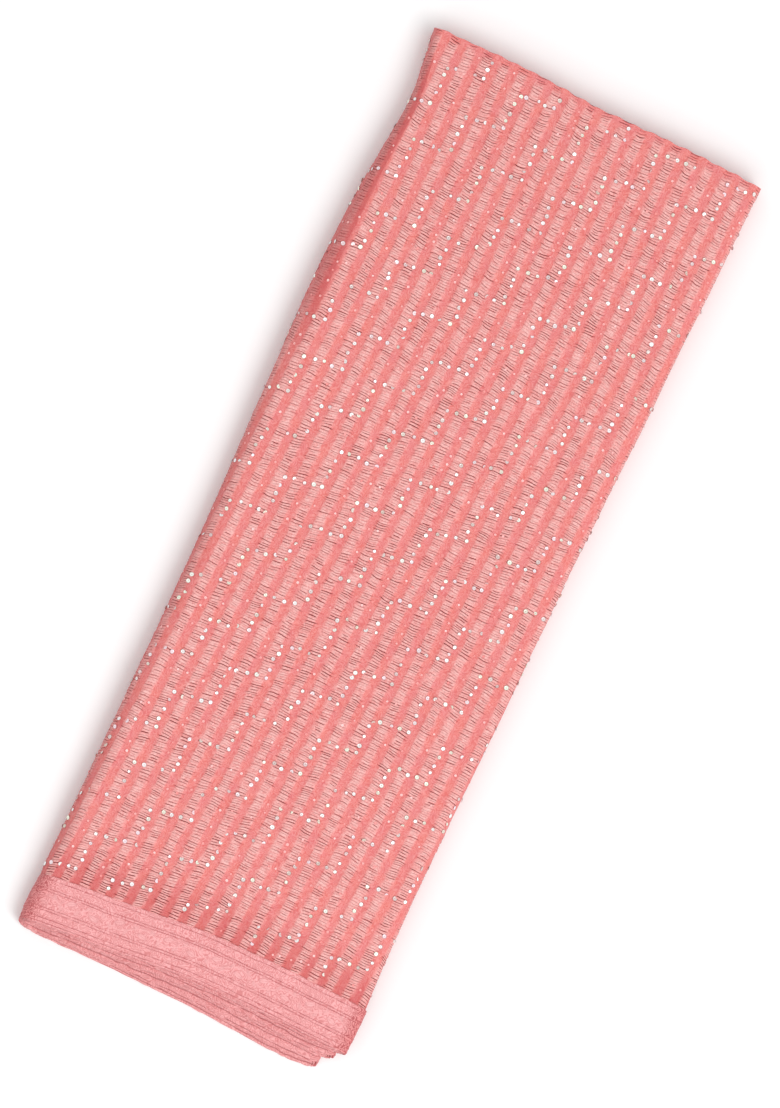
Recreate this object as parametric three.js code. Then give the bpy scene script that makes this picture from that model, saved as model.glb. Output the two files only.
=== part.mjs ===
// A folded silk sari lying flat: one long striped cloth with a woven border along both edges, folded in
// half across its width and then halved five times along its length. Millimetres, +Z up, +Y towards the
// head fold, -Y towards the border edges. The long spine fold is on -X and the looser folds are on +X.
// The origin is the middle of the underside.
import * as THREE from 'three';

// ---- Driving sizes
const WALL = 1.2;              // a doubled ply of crinkled cloth
const GAP = 0.3;               // between neighbouring pieces
const STRIPE_PITCH = 11;       // one puckered and one flat stripe
const PUCKER_WIDTH = 6;        // of which the puckered one
const STRIPE_PHASE = -0.4;     // where a puckered stripe starts, across the cloth
const RIB_RISE = 0.6;          // a puckered stripe above a flat one
const RIB_EDGE = 0.8;          // the slope at each side of it
const RIB_SHAPE = [{ across: 0, rise: 0 }, { across: RIB_EDGE, rise: 1 },
  { across: PUCKER_WIDTH - RIB_EDGE, rise: 1 }, { across: PUCKER_WIDTH, rise: 0 }];
const ROUND_RIB_SHAPE = [...RIB_SHAPE.slice(0, 2), { across: PUCKER_WIDTH / 2, rise: 1 },
  ...RIB_SHAPE.slice(2), { across: (PUCKER_WIDTH + STRIPE_PITCH) / 2, rise: 0 }];
const FACE_STRIPES = { first: -6, count: 15 };   // pitches between the two side pieces of the field
const SPINE_STRIPES = 6;       // pitches on the spine piece, the last ones under the packet
const FOLD_STRIPES = 3;        // pitches on the right fold piece
const SQUEEZE = 0.25;          // spacing of the columns that are left over past the end of a piece
const SPINE_FLAT_BELOW = 0.25; // share of the height under which the spine's stripes are pressed flat
const FOLD_FLAT_BELOW = 0.6;   // the same for the right fold
const BORDER = 28;             // width of the border
const SEAM_Y = -246;           // the section at the border's seam
const CLEAR = WALL + 0.7;      // from a wall's outer side to the hidden layers
const HEAD_LIP = { length: 1.5, drop: 0.5 };     // the rounding of the top ply at the head fold
const HEAD_SCALLOP = 0.4;      // the puckers shorten the cloth, so they draw the head fold in
const MIDDLE_FOLD = { setback: 6.5, level: 0.36 };   // the packet under the top one, at the foot
const LOWEST_FOLD = { setback: 14.5, level: 1 };
const FOLD_REACH = 5;          // how far the lower folds round away
const LAYER_IN = 1.1;          // how deep the grooves between the hidden layers are
const LAYER_WAVE = { rise: 0.7, long: 9, short: 23, longShift: 2.3, shortShift: 1.1 };
const HEAD_IN = 1.8;           // how far the hidden layers stay back at the head fold
const END_POINTS = 12;         // spacings of a layer's edge at the foot and the head
const UNDER_COLUMNS = 10;
const BORDER_COLUMNS = 20;
const ARC_COLUMNS = 6;

// ---- Sections across the packet, from the head fold to the foot. Each row has its place along the
// packet, its left and right outline, its height, how far the spine and the right fold round away, how
// far the stripes have leant over, and the share of the lower folds' setback.
const SECTIONS = [
  { y: 288, left: -103.0, right: 108.5, height: 21.0, spine: 5.0, fold: 4.0, lean: -3.8, back: 0.2 },
  { y: 274, left: -101.0, right: 107.3, height: 21.6, spine: 5.5, fold: 4.2, lean: -4.0, back: 0.2 },
  { y: 246, left: -98.6, right: 106.5, height: 22.4, spine: 6.2, fold: 4.6, lean: -4.4, back: 0.2 },
  { y: 217, left: -100.9, right: 106.0, height: 23.2, spine: 7.6, fold: 5.2, lean: -5.0, back: 0.2 },
  { y: 188, left: -103.8, right: 104.8, height: 23.7, spine: 9.5, fold: 5.8, lean: -5.5, back: 0.25 },
  { y: 140, left: -106.0, right: 103.8, height: 24.0, spine: 11.5, fold: 6.0, lean: -6.8, back: 0.3 },
  { y: 60, left: -105.3, right: 100.8, height: 24.0, spine: 12.0, fold: 6.0, lean: -11.0, back: 0.4 },
  { y: -40, left: -103.8, right: 99.3, height: 24.0, spine: 12.0, fold: 6.0, lean: -16.1, back: 0.5 },
  { y: -130, left: -104.8, right: 97.1, height: 23.8, spine: 11.5, fold: 6.0, lean: -20.6, back: 0.7 },
  { y: -205, left: -105.4, right: 96.9, height: 22.8, spine: 10.4, fold: 5.6, lean: -25.5, back: 0.9 },
  { y: -246, left: -106.7, right: 98.4, height: 20.2, spine: 9.0, fold: 5.0, lean: -28.8, back: 1 },
  { y: -262, left: -107.6, right: 98.2, height: 18.4, spine: 8.2, fold: 4.6, lean: -30.0, back: 1 },
  { y: -292, left: -106.0, right: 97.0, height: 17.2, spine: 7.8, fold: 4.3, lean: -32.0, back: 1 },
];
// The ends at places across, from the left outline (0) to the right: the head fold, the top ply's edge
// at the foot, and the lowest ply's edge.
const ENDS = [
  { across: 0, head: 287.9, foot: -279.8, lowest: -284.2 },
  { across: 0.3, head: 287.5, foot: -275.4, lowest: -285.2 },
  { across: 0.5, head: 284.4, foot: -271.8, lowest: -286.2 },
  { across: 0.77, head: 284.0, foot: -272.2, lowest: -289.3 },
  { across: 1, head: 281.4, foot: -274.3, lowest: -288.0 },
];
// The lower packets, as shares of the height, and how far each is set back on the right at the foot.
const PACKETS = [
  { bottom: 0, top: 0.25, setback: LOWEST_FOLD.setback },
  { bottom: 0.25, top: 0.5, setback: MIDDLE_FOLD.setback },
];
// The hidden layers' rings, from the lowest up: the packet whose fold they lie in on the right (the top
// one is 2), how high in its hollow from -1 to 1, how far they stay back from it, and how far out they
// lie at the foot, from the top ply's edge (0) to the lowest ply's (1).
const RINGS = [
  { packet: 0, w: -1, back: 0, level: 1 },
  { packet: 0, w: -0.5, back: 0, level: 0.97 },
  { packet: 0, w: 0.2, back: 0, level: 0.92 },
  { packet: 0, w: 1, back: 1.2, level: 0.84 },
  { packet: 0, w: 'between', back: 1.4, level: 0.74 },
  { packet: 1, w: -1, back: 1.2, level: 0.64 },
  { packet: 1, w: 0, back: 0, level: 0.54 },
  { packet: 1, w: 1, back: 1.2, level: 0.46 },
  { packet: 1, w: 'between', back: 1.4, level: 0.4 },
  { packet: 2, w: -1, back: 1.2, level: 0.35 },
  { packet: 2, w: -0.75, back: 0, level: 0.3 },
  { packet: 2, w: -0.45, back: 0, level: 0.25 },
  { packet: 2, w: -0.15, back: 0, level: 0.21 },
  { packet: 2, w: 0.15, back: 0, level: 0.17 },
  { packet: 2, w: 0.45, back: 0, level: 0.12 },
  { packet: 2, w: 0.75, back: 0, level: 0.08 },
  { packet: 2, w: 1, back: 0, level: 0.04 },
];
const FIELD_ROWS = SECTIONS.filter((row) => row.y >= SEAM_Y).map((row) => row.y);
const HEAD_Y = FIELD_ROWS[0];
const BORDER_ROWS = [0, 0.3, 0.65, 1];

// ---- Reading the tables: a smooth cubic through the rows
function lookUp(table, key, column, at) {
  const rising = table[0][key] < table[table.length - 1][key];
  const rows = rising ? table : [...table].reverse();
  const last = rows.length - 1;
  const place = THREE.MathUtils.clamp(at, rows[0][key], rows[last][key]);
  const i = Math.max(1, rows.findIndex((row) => row[key] >= place));
  const slope = (k) => {
    const [before, after] = [rows[Math.max(k - 1, 0)], rows[Math.min(k + 1, last)]];
    return (after[column] - before[column]) / (after[key] - before[key]);
  };
  const [a, b] = [rows[i - 1], rows[i]];
  const width = b[key] - a[key];
  const t = (place - a[key]) / width;
  const eased = t * t * (3 - 2 * t);
  const bend = t * (1 - t) * width * ((1 - t) * slope(i - 1) - t * slope(i));
  return THREE.MathUtils.lerp(a[column], b[column], eased) + bend;
}

function sectionAt(y) {
  const columns = ['left', 'right', 'height', 'spine', 'fold', 'lean', 'back'];
  return Object.fromEntries(columns.map((column) => [column, lookUp(SECTIONS, 'y', column, y)]));
}

function footAt(across, level) {
  const top = lookUp(ENDS, 'across', 'foot', across);
  return THREE.MathUtils.lerp(top, lookUp(ENDS, 'across', 'lowest', across), level);
}

function headAt(x, across) {
  const pucker = x - SECTIONS[0].lean - STRIPE_PHASE - PUCKER_WIDTH / 2;
  const scallop = HEAD_SCALLOP * (1 + Math.cos((2 * Math.PI * pucker) / STRIPE_PITCH));
  return lookUp(ENDS, 'across', 'head', across) - scallop;
}

// ---- Curves across one section. Each gives x, z and the outward normal at a distance s along it.
function ellipsePoint(centreX, centreZ, halfWidth, halfHeight, angle, side) {
  const normal = new THREE.Vector2(side * Math.sin(angle) / halfWidth, Math.cos(angle) / halfHeight);
  normal.normalize();
  return { x: centreX + side * halfWidth * Math.sin(angle), z: centreZ + halfHeight * Math.cos(angle),
    nx: normal.x, nz: normal.y };
}

function halfEllipseLength(halfWidth, halfHeight) {
  return Math.PI * Math.sqrt((halfWidth ** 2 + halfHeight ** 2) / 2);
}

// from the flat top, where s = x, round the spine on the left or the top packet's fold on the right
function spineEnd(section) {
  return section.left + section.spine - halfEllipseLength(section.spine, section.height / 2);
}

function topFold(section) {
  const halfHeight = (section.height / 2 - GAP / 2) / 2;
  const tangent = section.right - section.fold;
  return { halfHeight, tangent, length: halfEllipseLength(section.fold, halfHeight) };
}

function topCurve(section, s) {
  const leftTangent = section.left + section.spine;
  if (s < leftTangent) {
    const halfHeight = section.height / 2;
    const angle = Math.PI * (leftTangent - s) / halfEllipseLength(section.spine, halfHeight);
    return ellipsePoint(leftTangent, halfHeight, section.spine, halfHeight, Math.min(angle, Math.PI), -1);
  }
  const fold = topFold(section);
  if (s <= fold.tangent) return { x: s, z: section.height, nx: 0, nz: 1 };
  const angle = Math.PI * (s - fold.tangent) / fold.length;
  return ellipsePoint(fold.tangent, section.height - fold.halfHeight, section.fold, fold.halfHeight,
    angle, 1);
}

// a lower packet's fold, as a half ellipse from its underside to its top
function lowerFold(section, bottom, top, setback) {
  const low = section.height * bottom + (bottom > 0 ? GAP / 2 : 0);
  const high = section.height * top - GAP / 2;
  const tangent = section.right - setback * section.back - FOLD_REACH;
  return { tangent, middle: (low + high) / 2, halfHeight: (high - low) / 2, reach: FOLD_REACH };
}

function lowerCurve(fold, share) {
  return ellipsePoint(fold.tangent, fold.middle, fold.reach, fold.halfHeight, Math.PI * (1 - share), 1);
}

// ---- Closed solids from grids and rings
function closedGeometry(points, triangles) {
  let volume = 0;
  for (let i = 0; i < triangles.length; i += 3) {
    const [a, b, c] = [0, 1, 2].map((k) => points[triangles[i + k]]);
    volume += a.dot(new THREE.Vector3().crossVectors(b, c));
  }
  const index = volume > 0 ? triangles : [...triangles].reverse();
  const geometry = new THREE.BufferGeometry().setFromPoints(points);
  return geometry.setIndex(index);
}

// a wall between a grid of outer points and the same grid of inner points
function wallGeometry(outer, inner) {
  const rows = outer.length;
  const columns = outer[0].length;
  const points = [...outer.flat(), ...inner.flat()];
  const triangles = [];
  const quad = (a, b, c, d) => triangles.push(a, b, c, a, c, d);
  const at = (i, j, side) => side * rows * columns + i * columns + j;
  for (let i = 0; i + 1 < rows; i += 1) {
    for (let j = 0; j + 1 < columns; j += 1) {
      quad(at(i, j, 0), at(i, j + 1, 0), at(i + 1, j + 1, 0), at(i + 1, j, 0));
      quad(at(i, j, 1), at(i + 1, j, 1), at(i + 1, j + 1, 1), at(i, j + 1, 1));
    }
  }
  for (let j = 0; j + 1 < columns; j += 1) {
    quad(at(0, j, 0), at(0, j, 1), at(0, j + 1, 1), at(0, j + 1, 0));
    quad(at(rows - 1, j, 0), at(rows - 1, j + 1, 0), at(rows - 1, j + 1, 1), at(rows - 1, j, 1));
  }
  for (let i = 0; i + 1 < rows; i += 1) {
    quad(at(i, 0, 0), at(i + 1, 0, 0), at(i + 1, 0, 1), at(i, 0, 1));
    quad(at(i, columns - 1, 0), at(i, columns - 1, 1), at(i + 1, columns - 1, 1), at(i + 1, columns - 1, 0));
  }
  return closedGeometry(points, triangles);
}

// a solid through closed rings of the same number of points, the lowest ring first
function ringGeometry(rings) {
  const count = rings[0].length;
  const points = rings.flat();
  const triangles = [];
  for (let i = 0; i + 1 < rings.length; i += 1) {
    for (let j = 0; j < count; j += 1) {
      const [a, b] = [i * count + j, i * count + (j + 1) % count];
      triangles.push(a, b, b + count, a, b + count, a + count);
    }
  }
  const last = (rings.length - 1) * count;
  const flat = (ring) => ring.map((point) => new THREE.Vector2(point.x, point.y));
  THREE.ShapeUtils.triangulateShape(flat(rings[0]), []).forEach(([a, b, c]) => triangles.push(c, b, a));
  THREE.ShapeUtils.triangulateShape(flat(rings[rings.length - 1]), [])
    .forEach(([a, b, c]) => triangles.push(last + a, last + b, last + c));
  return closedGeometry(points, triangles);
}

// ---- Rows along the packet: field rows run from the head fold to the seam, border rows on to the edge
const fieldRows = [
  { station: HEAD_Y, inset: 0, drop: HEAD_LIP.drop },
  { station: HEAD_Y, inset: HEAD_LIP.length, drop: 0 },
  ...FIELD_ROWS.slice(1).map((station) => ({ station, inset: 0, drop: 0 })),
];

function fieldY(row, x, across, level) {
  const seam = footAt(across, level) + BORDER + GAP / 2;
  const share = (row.station - SEAM_Y) / (HEAD_Y - SEAM_Y);
  return THREE.MathUtils.lerp(seam, headAt(x, across), share) - row.inset;
}

const borderRows = BORDER_ROWS.map((share) => ({ station: SEAM_Y - share * BORDER, share }));

function borderY(row, x, across, level) {
  const foot = footAt(across, level);
  return THREE.MathUtils.lerp(foot + BORDER - GAP / 2, foot, row.share);
}

// a wall whose columns follow a curve: curve(section) lists the points across, each with its level at
// the foot and the rise of its outer side
function wallAlong(rows, curve, yOf) {
  const outer = [];
  const inner = [];
  for (const row of rows) {
    const section = sectionAt(row.station);
    const width = section.right - section.left;
    const outerRow = [];
    const innerRow = [];
    for (const { x, z, nx, nz, level, rise } of curve(section)) {
      const across = THREE.MathUtils.clamp((x - section.left) / width, 0, 1);
      const y = yOf(row, x, across, level);
      const out = rise - (row.drop ?? 0);
      outerRow.push(new THREE.Vector3(x + nx * out, y, z + nz * out));
      innerRow.push(new THREE.Vector3(x - nx * WALL, y, z - nz * WALL));
    }
    outer.push(outerRow);
    inner.push(innerRow);
  }
  return wallGeometry(outer, inner);
}

// ---- Stripe columns, as places across the cloth before it leans over
function stripeColumns(first, count, shape) {
  const columns = [];
  for (let stripe = 0; stripe < count; stripe += 1) {
    const start = STRIPE_PHASE + (first + stripe) * STRIPE_PITCH;
    shape.forEach((rib) => columns.push({ u: start + rib.across, rise: rib.rise * RIB_RISE }));
  }
  columns.push({ u: STRIPE_PHASE + (first + count) * STRIPE_PITCH, rise: 0 });
  return columns;
}

const faceColumns = stripeColumns(FACE_STRIPES.first, FACE_STRIPES.count, RIB_SHAPE);
const spineColumns = stripeColumns(FACE_STRIPES.first - SPINE_STRIPES, SPINE_STRIPES, ROUND_RIB_SHAPE);
const foldColumns = stripeColumns(FACE_STRIPES.first + FACE_STRIPES.count, FOLD_STRIPES,
  ROUND_RIB_SHAPE);

function faceCurve(section) {
  return faceColumns.map(({ u, rise }, j) => {
    const trim = (j === 0 ? GAP : 0) / 2 - (j === faceColumns.length - 1 ? GAP : 0) / 2;
    return { ...topCurve(section, u + trim + section.lean), level: 0, rise };
  });
}

// level at the foot grows from the top ply to the underside round the spine
function spineLevel(point, section) {
  return THREE.MathUtils.clamp(1 - point.z / section.height, 0, 1);
}

function spineCurve(section) {
  const end = spineEnd(section) + GAP / 2;
  return spineColumns.map(({ u, rise }, j) => {
    const s = u + section.lean - (j === spineColumns.length - 1 ? GAP / 2 : 0);
    const squeezed = end + j * SQUEEZE;
    const point = topCurve(section, Math.max(s, squeezed));
    const shown = s > squeezed && point.z > section.height * SPINE_FLAT_BELOW;
    return { ...point, level: spineLevel(point, section), rise: shown ? rise : 0 };
  });
}

function foldCurve(section) {
  const fold = topFold(section);
  const end = fold.tangent + fold.length;
  const last = foldColumns.length - 1;
  return foldColumns.map(({ u, rise }, j) => {
    const s = u + section.lean + (j === 0 ? GAP / 2 : 0);
    const squeezed = end - (last - j) * SQUEEZE;
    const point = topCurve(section, Math.min(s, squeezed));
    const shown = s < squeezed && point.z > section.height * FOLD_FLAT_BELOW;
    const level = MIDDLE_FOLD.level * spineLevel(point, section);
    return { ...point, level, rise: shown ? rise : 0 };
  });
}

const shares = (count) => Array.from({ length: count + 1 }, (_, i) => i / count);

function middleCurve(section) {
  const { bottom, top, setback } = PACKETS[1];
  const fold = lowerFold(section, bottom, top, setback);
  return shares(ARC_COLUMNS)
    .map((share) => ({ ...lowerCurve(fold, share), level: MIDDLE_FOLD.level, rise: 0 }));
}

// the underside, from the spine across and up round the lowest fold
function underCurve(section) {
  const { bottom, top, setback } = PACKETS[0];
  const fold = lowerFold(section, bottom, top, setback);
  const start = section.left + section.spine + GAP;
  const flat = shares(UNDER_COLUMNS).slice(0, -1)
    .map((share) => ({ x: THREE.MathUtils.lerp(start, fold.tangent, share), z: 0, nx: 0, nz: -1 }));
  const turn = shares(ARC_COLUMNS).map((share) => lowerCurve(fold, share));
  return [...flat, ...turn].map((point) => ({ ...point, level: LOWEST_FOLD.level, rise: 0 }));
}

// ---- Border stretches, plain across
function faceBorderCurve(section) {
  const [start, end] = [section.left + section.spine + GAP / 2, topFold(section).tangent - GAP / 2];
  return shares(BORDER_COLUMNS)
    .map((share) => ({ ...topCurve(section, THREE.MathUtils.lerp(start, end, share)), level: 0, rise: 0 }));
}

function spineBorderCurve(section) {
  const [start, end] = [section.left + section.spine - GAP / 2, spineEnd(section) + GAP / 2];
  return shares(2 * ARC_COLUMNS).map((share) => {
    const point = topCurve(section, THREE.MathUtils.lerp(start, end, share));
    return { ...point, level: spineLevel(point, section), rise: 0 };
  });
}

function foldBorderCurve(section) {
  const fold = topFold(section);
  const [start, end] = [fold.tangent + GAP / 2, fold.tangent + fold.length];
  return shares(ARC_COLUMNS).map((share) => topCurve(section, THREE.MathUtils.lerp(start, end, share)))
    .map((point) => ({ ...point, level: MIDDLE_FOLD.level * spineLevel(point, section), rise: 0 }));
}

// ---- The hidden layers: rings between the walls, with a groove ring between each two layers
function ringHeight(section, share) {
  return THREE.MathUtils.lerp(CLEAR, section.height - CLEAR, share);
}

function ringLeft(section, share) {
  const reach = Math.sqrt(1 - (2 * share - 1) ** 2);
  return section.left + section.spine - (section.spine - CLEAR) * reach;
}

// beside the right folds a ring keeps to the hollow of its own packet, or passes between two packets
function ringRight(section, { packet, w, back }) {
  const folds = PACKETS.map(({ bottom, top, setback }) => lowerFold(section, bottom, top, setback));
  const upper = topFold(section);
  const top = section.height - upper.halfHeight;
  folds.push({ tangent: upper.tangent, middle: top, halfHeight: upper.halfHeight, reach: section.fold });
  const fold = folds[packet];
  if (w === 'between') {
    const x = Math.min(fold.tangent, folds[packet + 1].tangent) - back;
    return { x, z: fold.middle + fold.halfHeight + GAP / 2 };
  }
  const x = fold.tangent - back + (fold.reach - CLEAR) * Math.sqrt(1 - w * w);
  return { x, z: fold.middle + w * (fold.halfHeight - CLEAR) };
}

function layerRing(row, i) {
  const share = i / (RINGS.length - 1);
  const groove = i % 2 === 0 ? LAYER_IN : 0;
  const wave = (t) => LAYER_WAVE.rise * Math.sin(LAYER_WAVE.long * t + LAYER_WAVE.longShift * i)
    * Math.sin(LAYER_WAVE.short * t + LAYER_WAVE.shortShift * i);
  const sideRows = [...borderRows.slice(0, -1).reverse(), ...fieldRows.slice(2).reverse()];
  const sideY = (side, across) => ('share' in side ? borderY : fieldY)(side, 0, across, row.level);
  const ends = { foot: sectionAt(SEAM_Y - BORDER), head: sectionAt(HEAD_Y) };
  const rightSide = (section, y) => {
    const { x, z } = ringRight(section, row);
    return new THREE.Vector3(x, y, z);
  };
  const leftSide = (section, y) => new THREE.Vector3(ringLeft(section, share), y, ringHeight(section, share));
  const endPoint = (section, across, y) => {
    const right = section.right - LOWEST_FOLD.setback * section.back - FOLD_REACH - 2 * LAYER_IN;
    const x = THREE.MathUtils.lerp(ringLeft(section, share), right, across);
    return new THREE.Vector3(x, y, ringHeight(section, share));
  };
  const footY = (across) => footAt(across, row.level) + groove + wave(across);
  const headY = (across) => lookUp(ENDS, 'across', 'head', across) - HEAD_IN - groove - 0.5 * wave(across);
  const cornerFoot = footAt(1, row.level) + groove;
  const cornerHead = lookUp(ENDS, 'across', 'head', 1) - HEAD_IN - groove;
  const endShares = shares(END_POINTS);
  return [
    ...endShares.map((across) => endPoint(ends.foot, across, footY(across))),
    rightSide(ends.foot, cornerFoot),
    ...sideRows.map((side) => rightSide(sectionAt(side.station), sideY(side, 1))),
    rightSide(ends.head, cornerHead),
    ...[...endShares].reverse().map((across) => endPoint(ends.head, across, headY(across))),
    ...[...sideRows].reverse().map((side) => leftSide(sectionAt(side.station), sideY(side, 0))),
  ];
}

function innerLayers() {
  return ringGeometry(RINGS.map(layerRing));
}

// ---- The parts, each with its own finish
const field = (shade) => new THREE.MeshStandardMaterial({ color: shade, roughness: 0.55, metalness: 0 });
const border = (shade) => new THREE.MeshStandardMaterial({ color: shade, roughness: 0.5, metalness: 0 });

const pieces = [
  ['inner_layers', innerLayers(), field('#e99491')],
  ['face_field', wallAlong(fieldRows, faceCurve, fieldY), field('#ee9a96')],
  ['spine_field', wallAlong(fieldRows, spineCurve, fieldY), field('#e08d8b')],
  ['right_fold_field', wallAlong(fieldRows, foldCurve, fieldY), field('#e89390')],
  ['middle_fold_field', wallAlong(fieldRows, middleCurve, fieldY), field('#e58f8d')],
  ['under_field', wallAlong(fieldRows, underCurve, fieldY), field('#e08c89')],
  ['face_border', wallAlong(borderRows, faceBorderCurve, borderY), border('#f5a8a6')],
  ['spine_border', wallAlong(borderRows, spineBorderCurve, borderY), border('#ec9b99')],
  ['right_fold_border', wallAlong(borderRows, foldBorderCurve, borderY), border('#ee9c94')],
  ['middle_fold_border', wallAlong(borderRows, middleCurve, borderY), border('#ee9c98')],
  ['under_border', wallAlong(borderRows, underCurve, borderY), border('#eb9996')],
];

const sari = new THREE.Group();
for (const [name, geometry, material] of pieces) {
  const mesh = new THREE.Mesh(geometry, material);
  mesh.name = name;
  sari.add(mesh);
}
const box = new THREE.Box3().setFromObject(sari);
const middle = box.getCenter(new THREE.Vector3());
sari.position.set(-middle.x, -middle.y, -box.min.z);

const part = new THREE.Group();
part.add(sari);
export default part;
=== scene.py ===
"""A folded silk sari lying flat: crinkled, striped silk with a woven border and stepped lines of sequins.
Blender 4.5. Lengths in the tables and functions are millimetres; meshes are written in metres."""
import math

import bpy
import numpy as np
from bpy.props import FloatProperty, FloatVectorProperty, PointerProperty
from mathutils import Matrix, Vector


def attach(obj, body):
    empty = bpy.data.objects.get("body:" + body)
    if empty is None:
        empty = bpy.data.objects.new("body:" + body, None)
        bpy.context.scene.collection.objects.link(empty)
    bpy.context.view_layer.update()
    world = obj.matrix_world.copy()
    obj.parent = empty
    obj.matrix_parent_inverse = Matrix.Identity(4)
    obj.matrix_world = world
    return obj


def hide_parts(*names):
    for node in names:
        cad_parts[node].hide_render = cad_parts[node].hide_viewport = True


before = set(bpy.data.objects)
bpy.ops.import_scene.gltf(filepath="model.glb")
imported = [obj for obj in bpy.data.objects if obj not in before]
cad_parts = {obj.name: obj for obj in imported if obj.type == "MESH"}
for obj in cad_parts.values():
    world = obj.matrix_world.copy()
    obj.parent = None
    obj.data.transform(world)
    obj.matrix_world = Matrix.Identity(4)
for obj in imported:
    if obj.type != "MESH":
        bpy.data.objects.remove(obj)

bl_info = {
    "name": "Folded silk sari",
    "version": (1, 0, 0),
    "blender": (4, 5, 0),
    "location": "3D View > Sidebar > Sari",
    "description": "Builds a folded silk sari around its packed model",
    "category": "Add Mesh",
}

MM = 0.001
BODY = "root"
PACKET_SHIFT = (-0.743, 0.697)     # from the tables' middle to the middle of the packet's box

# ---- The packet: sections across it, and its ends. Stations run along it, -Y to +Y.
SECTION_NAMES = ("station", "left", "right", "height", "spine", "fold", "lean", "back")
SECTION_ROWS = (
    (-292, -106.0, 97.0, 17.2, 7.8, 4.3, -32.0, 1.00),
    (-262, -107.6, 98.2, 18.4, 8.2, 4.6, -30.0, 1.00),
    (-246, -106.7, 98.4, 20.2, 9.0, 5.0, -28.8, 1.00),
    (-205, -105.4, 96.9, 22.8, 10.4, 5.6, -25.5, 0.90),
    (-130, -104.8, 97.1, 23.8, 11.5, 6.0, -20.6, 0.70),
    (-40, -103.8, 99.3, 24.0, 12.0, 6.0, -16.1, 0.50),
    (60, -105.3, 100.8, 24.0, 12.0, 6.0, -11.0, 0.40),
    (140, -106.0, 103.8, 24.0, 11.5, 6.0, -6.8, 0.30),
    (188, -103.8, 104.8, 23.7, 9.5, 5.8, -5.5, 0.25),
    (217, -100.9, 106.0, 23.2, 7.6, 5.2, -5.0, 0.20),
    (246, -98.6, 106.5, 22.4, 6.2, 4.6, -4.4, 0.20),
    (274, -101.0, 107.3, 21.6, 5.5, 4.2, -4.0, 0.20),
    (288, -103.0, 108.5, 21.0, 5.0, 4.0, -3.8, 0.20),
)
END_NAMES = ("across", "head", "foot", "lowest")
END_ROWS = (
    (0.00, 287.9, -279.8, -286.4),
    (0.30, 287.5, -275.4, -287.2),
    (0.50, 284.4, -271.8, -287.9),
    (0.77, 284.0, -272.2, -291.2),
    (0.91, 282.6, -273.4, -291.3),
    (0.95, 282.1, -273.8, -289.0),
    (1.00, 281.4, -274.3, -284.0),
)
# how far out the plies lie at the foot, by their share of the height: the packets lie in steps
BUNCH_NAMES = ("share", "level")
BUNCH_ROWS = (
    (0.0, 1.0), (0.09, 0.98), (0.11, 0.88), (0.17, 0.87), (0.19, 0.78), (0.235, 0.77), (0.265, 0.54),
    (0.33, 0.53), (0.36, 0.46), (0.41, 0.45), (0.44, 0.38), (0.485, 0.37), (0.515, 0.22), (0.58, 0.21),
    (0.61, 0.14), (0.7, 0.13), (0.73, 0.06), (0.82, 0.05), (0.85, 0.0), (1.0, 0.0),
)
SEAM = -246.0                      # the station of the border's seam
HEAD = 288.0                       # the station of the head fold
BORDER = 28.0                      # width of the border
PLY_COUNT = 32                     # doubled plies, one on another
FOLD_GAP = 0.3                     # between two packets on the right
MIDDLE_PACKET = {"bottom": 0.25, "top": 0.5, "setback": 4.5}
LOWEST_PACKET = {"bottom": 0.0, "top": 0.25, "setback": 11.7}
LOWER_REACH = 5.0                  # how far the lower folds round away
RIGHT_FOLD_LEVEL = 0.4             # how far out the top packet's fold would lie at the foot, at the floor
LEVEL_INSET = 0.02                 # a lower fold keeps this share of the height off the steps beside it

# ---- The cloth's stripes: one pitch is a puckered stripe and a flat one
PITCH = 11.0
PUCKER = 6.0
STRIPE_START = 0.2                 # a stripe's own cloth starts this share of a pitch before its pucker
FACE_FIRST, FACE_STRIPES = -6, 15
FACE_SPLIT = 8                     # stripes on the left half of the face
FACE_LEFT = FACE_FIRST * PITCH
FACE_RIGHT = FACE_LEFT + FACE_STRIPES * PITCH
# the field comes down to the border, but not where the cloth turns outwards round the right fold
SHOULDER = {"drop": 0.9, "length": 9.0}
OUTWARDS = (0.2, 1)
PRESSED = (0.02, 0.3)              # shares of the height: the puckers are pressed flat near the floor,
DRAPED = (0.3, 0.7)                # and the face's unevenness fades down the sides
FLOOR_GAP = 0.02                   # least height of the outer cloth
# its painted shade beside the seam and how far that reaches; how much less on the puckers, and how much
# darker their creases' painted shade is there
SEAM_SHADE = {"tone": 0.64, "reach": (3, 32), "spared": 0.75, "creases": 0.8}
# painted shade: the flattened spine is darker from here on, and not at the head fold
SPINE_SHADE = {"tone": 0.8, "from": (70, 130), "until": (264, 284), "turn": (0.004, 0.025)}
FOLD_SHADE = 0.35                   # how much of the painted turn-down shade the right fold takes


def table(names, rows):
    """The named columns of a table, each a numpy array."""
    return dict(zip(names, np.array(rows, dtype=float).T))


SECTIONS = table(SECTION_NAMES, SECTION_ROWS)
ENDS = table(END_NAMES, END_ROWS)
BUNCHES = table(BUNCH_NAMES, BUNCH_ROWS)


def lerp(a, b, share):
    return a + (b - a) * share


def smooth(low, high, value):
    """0 below low, 1 above high, and an even S between."""
    t = np.clip((value - low) / (high - low), 0, 1)
    return t * t * (3 - 2 * t)


def bell(away, width):
    """1 in the middle, falling off to both sides over a width."""
    return np.exp(-((away / width) ** 2))


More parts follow.
